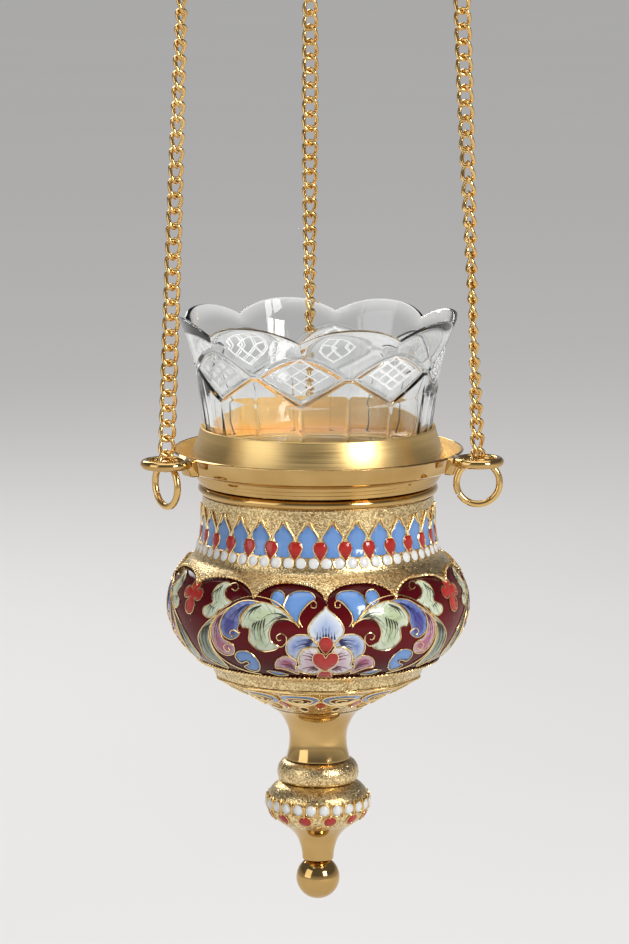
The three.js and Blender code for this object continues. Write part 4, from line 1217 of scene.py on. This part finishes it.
def glass_wall():
    low, high, rows = glass_foot + foot_height, glass_crest - 0.5, 122
    base = [(0, glass_foot), (31.6, glass_foot), (32.6, glass_foot + 0.4), (foot_radius, low)]
    heights = [low + (high - low) * i / rows for i in range(1, rows + 1)]
    side = [(wall_radius(height), height) for height in heights]
    rim = [(42.1, 40.85), (41.6, 41.0), (41.1, 40.9), (40.8, 40.5)]
    inside = [(40.8 - 7.4 * t ** 0.75, 40.5 - 22.5 * t) for t in (0.1, 0.2, 0.3, 0.45, 0.6, 0.8, 1)]
    inside += [(32.2, 12), (31.2, 4), (30.2, 1.6), (28.4, 0.3), (26.5, -0.3), (0, -0.3)]
    bm = spun(base + side + rim + inside, 640, closed=False)
    for vert in bm.verts:
        reach = hypot(vert.co.x, vert.co.y)
        on_side = reach > foot_radius - 0.1 and vert.co.z < high + 0.1
        depth = groove(vert.co) if on_side and reach > wall_radius(vert.co.z) - 0.1 else 0.0
        if depth > 0:
            vert.co.x *= (reach - depth) / reach
            vert.co.y *= (reach - depth) / reach
        vert.co = lobe_move(vert.co)
    return bm


# %% [markdown]
# ## Crystal
# Clear crystal is a dielectric that lets all light through and bends it. The wheel's polished
# mitres stay clear, while the hatching in each diamond is left white and rough. A second piece for
# the scratches would float over the wall, so they are a mask in the finish: two sets of thin lines
# along the diamond's own edges, which read the unrolled wall from a UV map. Rays from the lamps go
# straight through, so that the gilt inside the collar is lit as it is through real glass.

# %% Crystal finish
hatch_slope, hatch_gap, line_start, line_stop, line_edge = 0.62, 3.3, 1.35, 1.95, 0.2
hatch_end, hatch_fade = 5.2, 0.3
hatch_middle, far_from_hatch, wall_thickness = 27.0, 60.0, 1.6


def cut_crystal():
    material, tree, skin = new_material("cut_crystal")
    split = parted(tree, from_map(tree, "wall"))
    lines, insides = [], []
    for sign in (-1, 1):
        slant = calc(tree, "MULTIPLY", split["X"], sign * hatch_slope)
        along = calc(tree, "ADD", slant, split["Y"])
        across = calc(tree, "PINGPONG", along, hatch_gap)
        near = ranged(tree, across, line_start, line_start + line_edge)
        far = ranged(tree, across, line_stop - line_edge, line_stop, 1, 0)
        insides.append(ranged(tree, calc(tree, "ABSOLUTE", along), hatch_end, hatch_end + hatch_fade, 1, 0))
        lines.append(calc(tree, "MULTIPLY", calc(tree, "MULTIPLY", near, far), insides[-1]))
    hatch = calc(tree, "MULTIPLY", calc(tree, "MAXIMUM", *lines), calc(tree, "MULTIPLY", *insides))
    tree.links.new(ranged(tree, hatch, 0, 1, 0.0, 0.55), skin.inputs["Roughness"])
    tree.links.new(ranged(tree, hatch, 0, 1, 1.0, 0.1), skin.inputs["Transmission Weight"])
    skin.inputs["Base Color"].default_value = (0.97, 0.985, 0.985, 1)
    skin.inputs["IOR"].default_value = 1.5
    rays = add(tree, "ShaderNodeLightPath").outputs
    open_way = add(tree, "ShaderNodeBsdfTransparent", {"Color": (0.9, 0.9, 0.9, 1)}).outputs["BSDF"]
    choices = {0: rays["Is Shadow Ray"], 1: skin.outputs["BSDF"], 2: open_way}
    either = add(tree, "ShaderNodeMixShader", choices).outputs["Shader"]
    tree.links.new(either, tree.nodes["Material Output"].inputs["Surface"])
    return material


glass = keep(glass_wall(), "glass_cut", "glass", (cut_crystal(), "cut_crystal"), ("glass_cup",), 60)
unrolled = glass.data.uv_layers.new(name="wall")
for loop in glass.data.loops:
    place = glass.data.vertices[loop.vertex_index].co
    height = (place.z - lug_plane) / mm
    deepest = wall_thickness + (lobe_draw if height > 18 else 0)
    outside = hypot(place.x, place.y) / mm > wall_radius(height) - deepest
    unrolled.data[loop.index].uv = (from_valley(place) * sector,
                                    height - hatch_middle if outside else far_from_hatch)

# %% [markdown]
# ## Hidden parts
# The nut under the hanger shows from below. The clamp cup, washer, nut and tie rod hold the whole
# stack together from inside. They keep their plain solids and only get the look of turned brass.

# %% Plain brass
def plain_brass():
    material, tree, skin = new_material("plain_brass")
    turning = noise(tree, stretched(tree, object_place(tree), (60, 60, 2500)), 1, 3)
    finish_skin(tree, skin, blended(tree, turning, (0.42, 0.27, 0.09), (0.62, 0.44, 0.18)),
                from_noise(tree, turning, 0.3, 0.5), metal=1)
    return material


brass = plain_brass()
hidden = {"hook_nut": mirror, "clamp_cup": brass, "tie_washer": brass, "tie_nut": brass, "tie_rod": brass}
for name, finish in hidden.items():
    for material_slot in nodes[name].material_slots:
        material_slot.material = finish
print("kept solids dressed:", *hidden)

# %% [markdown]
# ## Floor, light and camera
# The lamp hangs over a plain pale floor. A soft lamp stands to the front right, as in the
# photograph, where it draws the bright square on the ball. A broad one hangs overhead, a weaker one
# fills the left, and one stands behind for the glass. The floor is quite matt, so that it doesn't
# glare when it is seen against the lamps. The camera looks down nine degrees from 1.35 metres away.

# %% Floor and world
floor_half, floor_height, floor_glow = 9.0, -0.43, 0.32


def pale_floor():
    material, tree, skin = new_material("pale_floor")
    soft = noise(tree, object_place(tree), 3, 2)
    tree.links.new(blended(tree, soft, (0.50, 0.49, 0.48), (0.56, 0.55, 0.54)), skin.inputs["Base Color"])
    skin.inputs["Roughness"].default_value = 1
    skin.inputs["Specular IOR Level"].default_value = 0
    rays = add(tree, "ShaderNodeLightPath").outputs
    seen = calc(tree, "MAXIMUM", rays["Is Camera Ray"], rays["Is Glossy Ray"])
    shown = calc(tree, "MAXIMUM", seen, rays["Is Transmission Ray"])
    skin.inputs["Emission Color"].default_value = (1, 0.99, 0.97, 1)
    tree.links.new(ranged(tree, shown, 0, 1, 0.0, floor_glow), skin.inputs["Emission Strength"])
    return material


floor_mesh = bmesh.new()
bmesh.ops.create_grid(floor_mesh, x_segments=8, y_segments=8, size=floor_half)
bmesh.ops.translate(floor_mesh, vec=(0, 0, floor_height), verts=floor_mesh.verts)
floor_data = bpy.data.meshes.new("floor")
floor_mesh.to_mesh(floor_data)
floor_mesh.free()
floor = bpy.data.objects.new("floor", floor_data)
bpy.context.scene.collection.objects.link(floor)
floor_data.materials.append(pale_floor())

world = bpy.data.worlds.new("studio")
bpy.context.scene.world = world
world.use_nodes = True
sky = world.node_tree
background = sky.nodes["Background"]
direction = add(sky, "ShaderNodeTexCoord").outputs["Generated"]
upward = ranged(sky, parted(sky, direction)["Z"], 0.0, 0.3)
pale = blended(sky, upward, (0.52, 0.51, 0.50), (0.14, 0.14, 0.15))
sky.links.new(pale, background.inputs["Color"])
background.inputs["Strength"].default_value = 1.0
print("floor at", floor_height, "m, under the sky of", world.name)

# %% Lamps
def soft_lamp(name, place, size, power, colour=(1, 1, 1)):
    data = bpy.data.lights.new(name, "AREA")
    data.shape = "RECTANGLE"
    data.size, data.size_y = size
    data.energy = power
    data.color = colour
    lamp = bpy.data.objects.new(name, data)
    lamp.location = place
    aim = Vector((0, 0, lug_plane)) - Vector(place)
    lamp.rotation_euler = aim.to_track_quat("-Z", "Y").to_euler()
    bpy.context.scene.collection.objects.link(lamp)
    print(name, "of", power, "W")


soft_lamp("overhead_lamp", (0.0, -0.1, 1.3), (1.6, 1.6), 13)
soft_lamp("key_lamp", (0.9, -0.95, 0.3), (0.4, 0.5), 12, (1, 0.98, 0.95))
soft_lamp("fill_lamp", (-1.1, -0.7, 0.2), (0.9, 1.0), 4)
soft_lamp("back_lamp", (-0.5, 1.0, 0.5), (0.6, 0.6), 6)

# %% Camera
tilt, distance = radians(9.1), 1.35
aside, drop_of_view = -0.00105, -0.007
camera_data = bpy.data.cameras.new("camera")
camera_data.sensor_fit = "VERTICAL"
camera_data.sensor_height = 36
camera_data.lens = 171.6
camera = bpy.data.objects.new("camera", camera_data)
bpy.context.scene.collection.objects.link(camera)
camera.location = (aside, -distance * cos(tilt), lug_plane + drop_of_view + distance * sin(tilt))
camera.rotation_euler = (pi / 2 - tilt, 0, 0)
bpy.context.scene.camera = camera
bpy.context.scene.view_settings.view_transform = "Standard"
print("camera", distance, "m away, looking down", round(degrees(tilt), 1), "degrees")
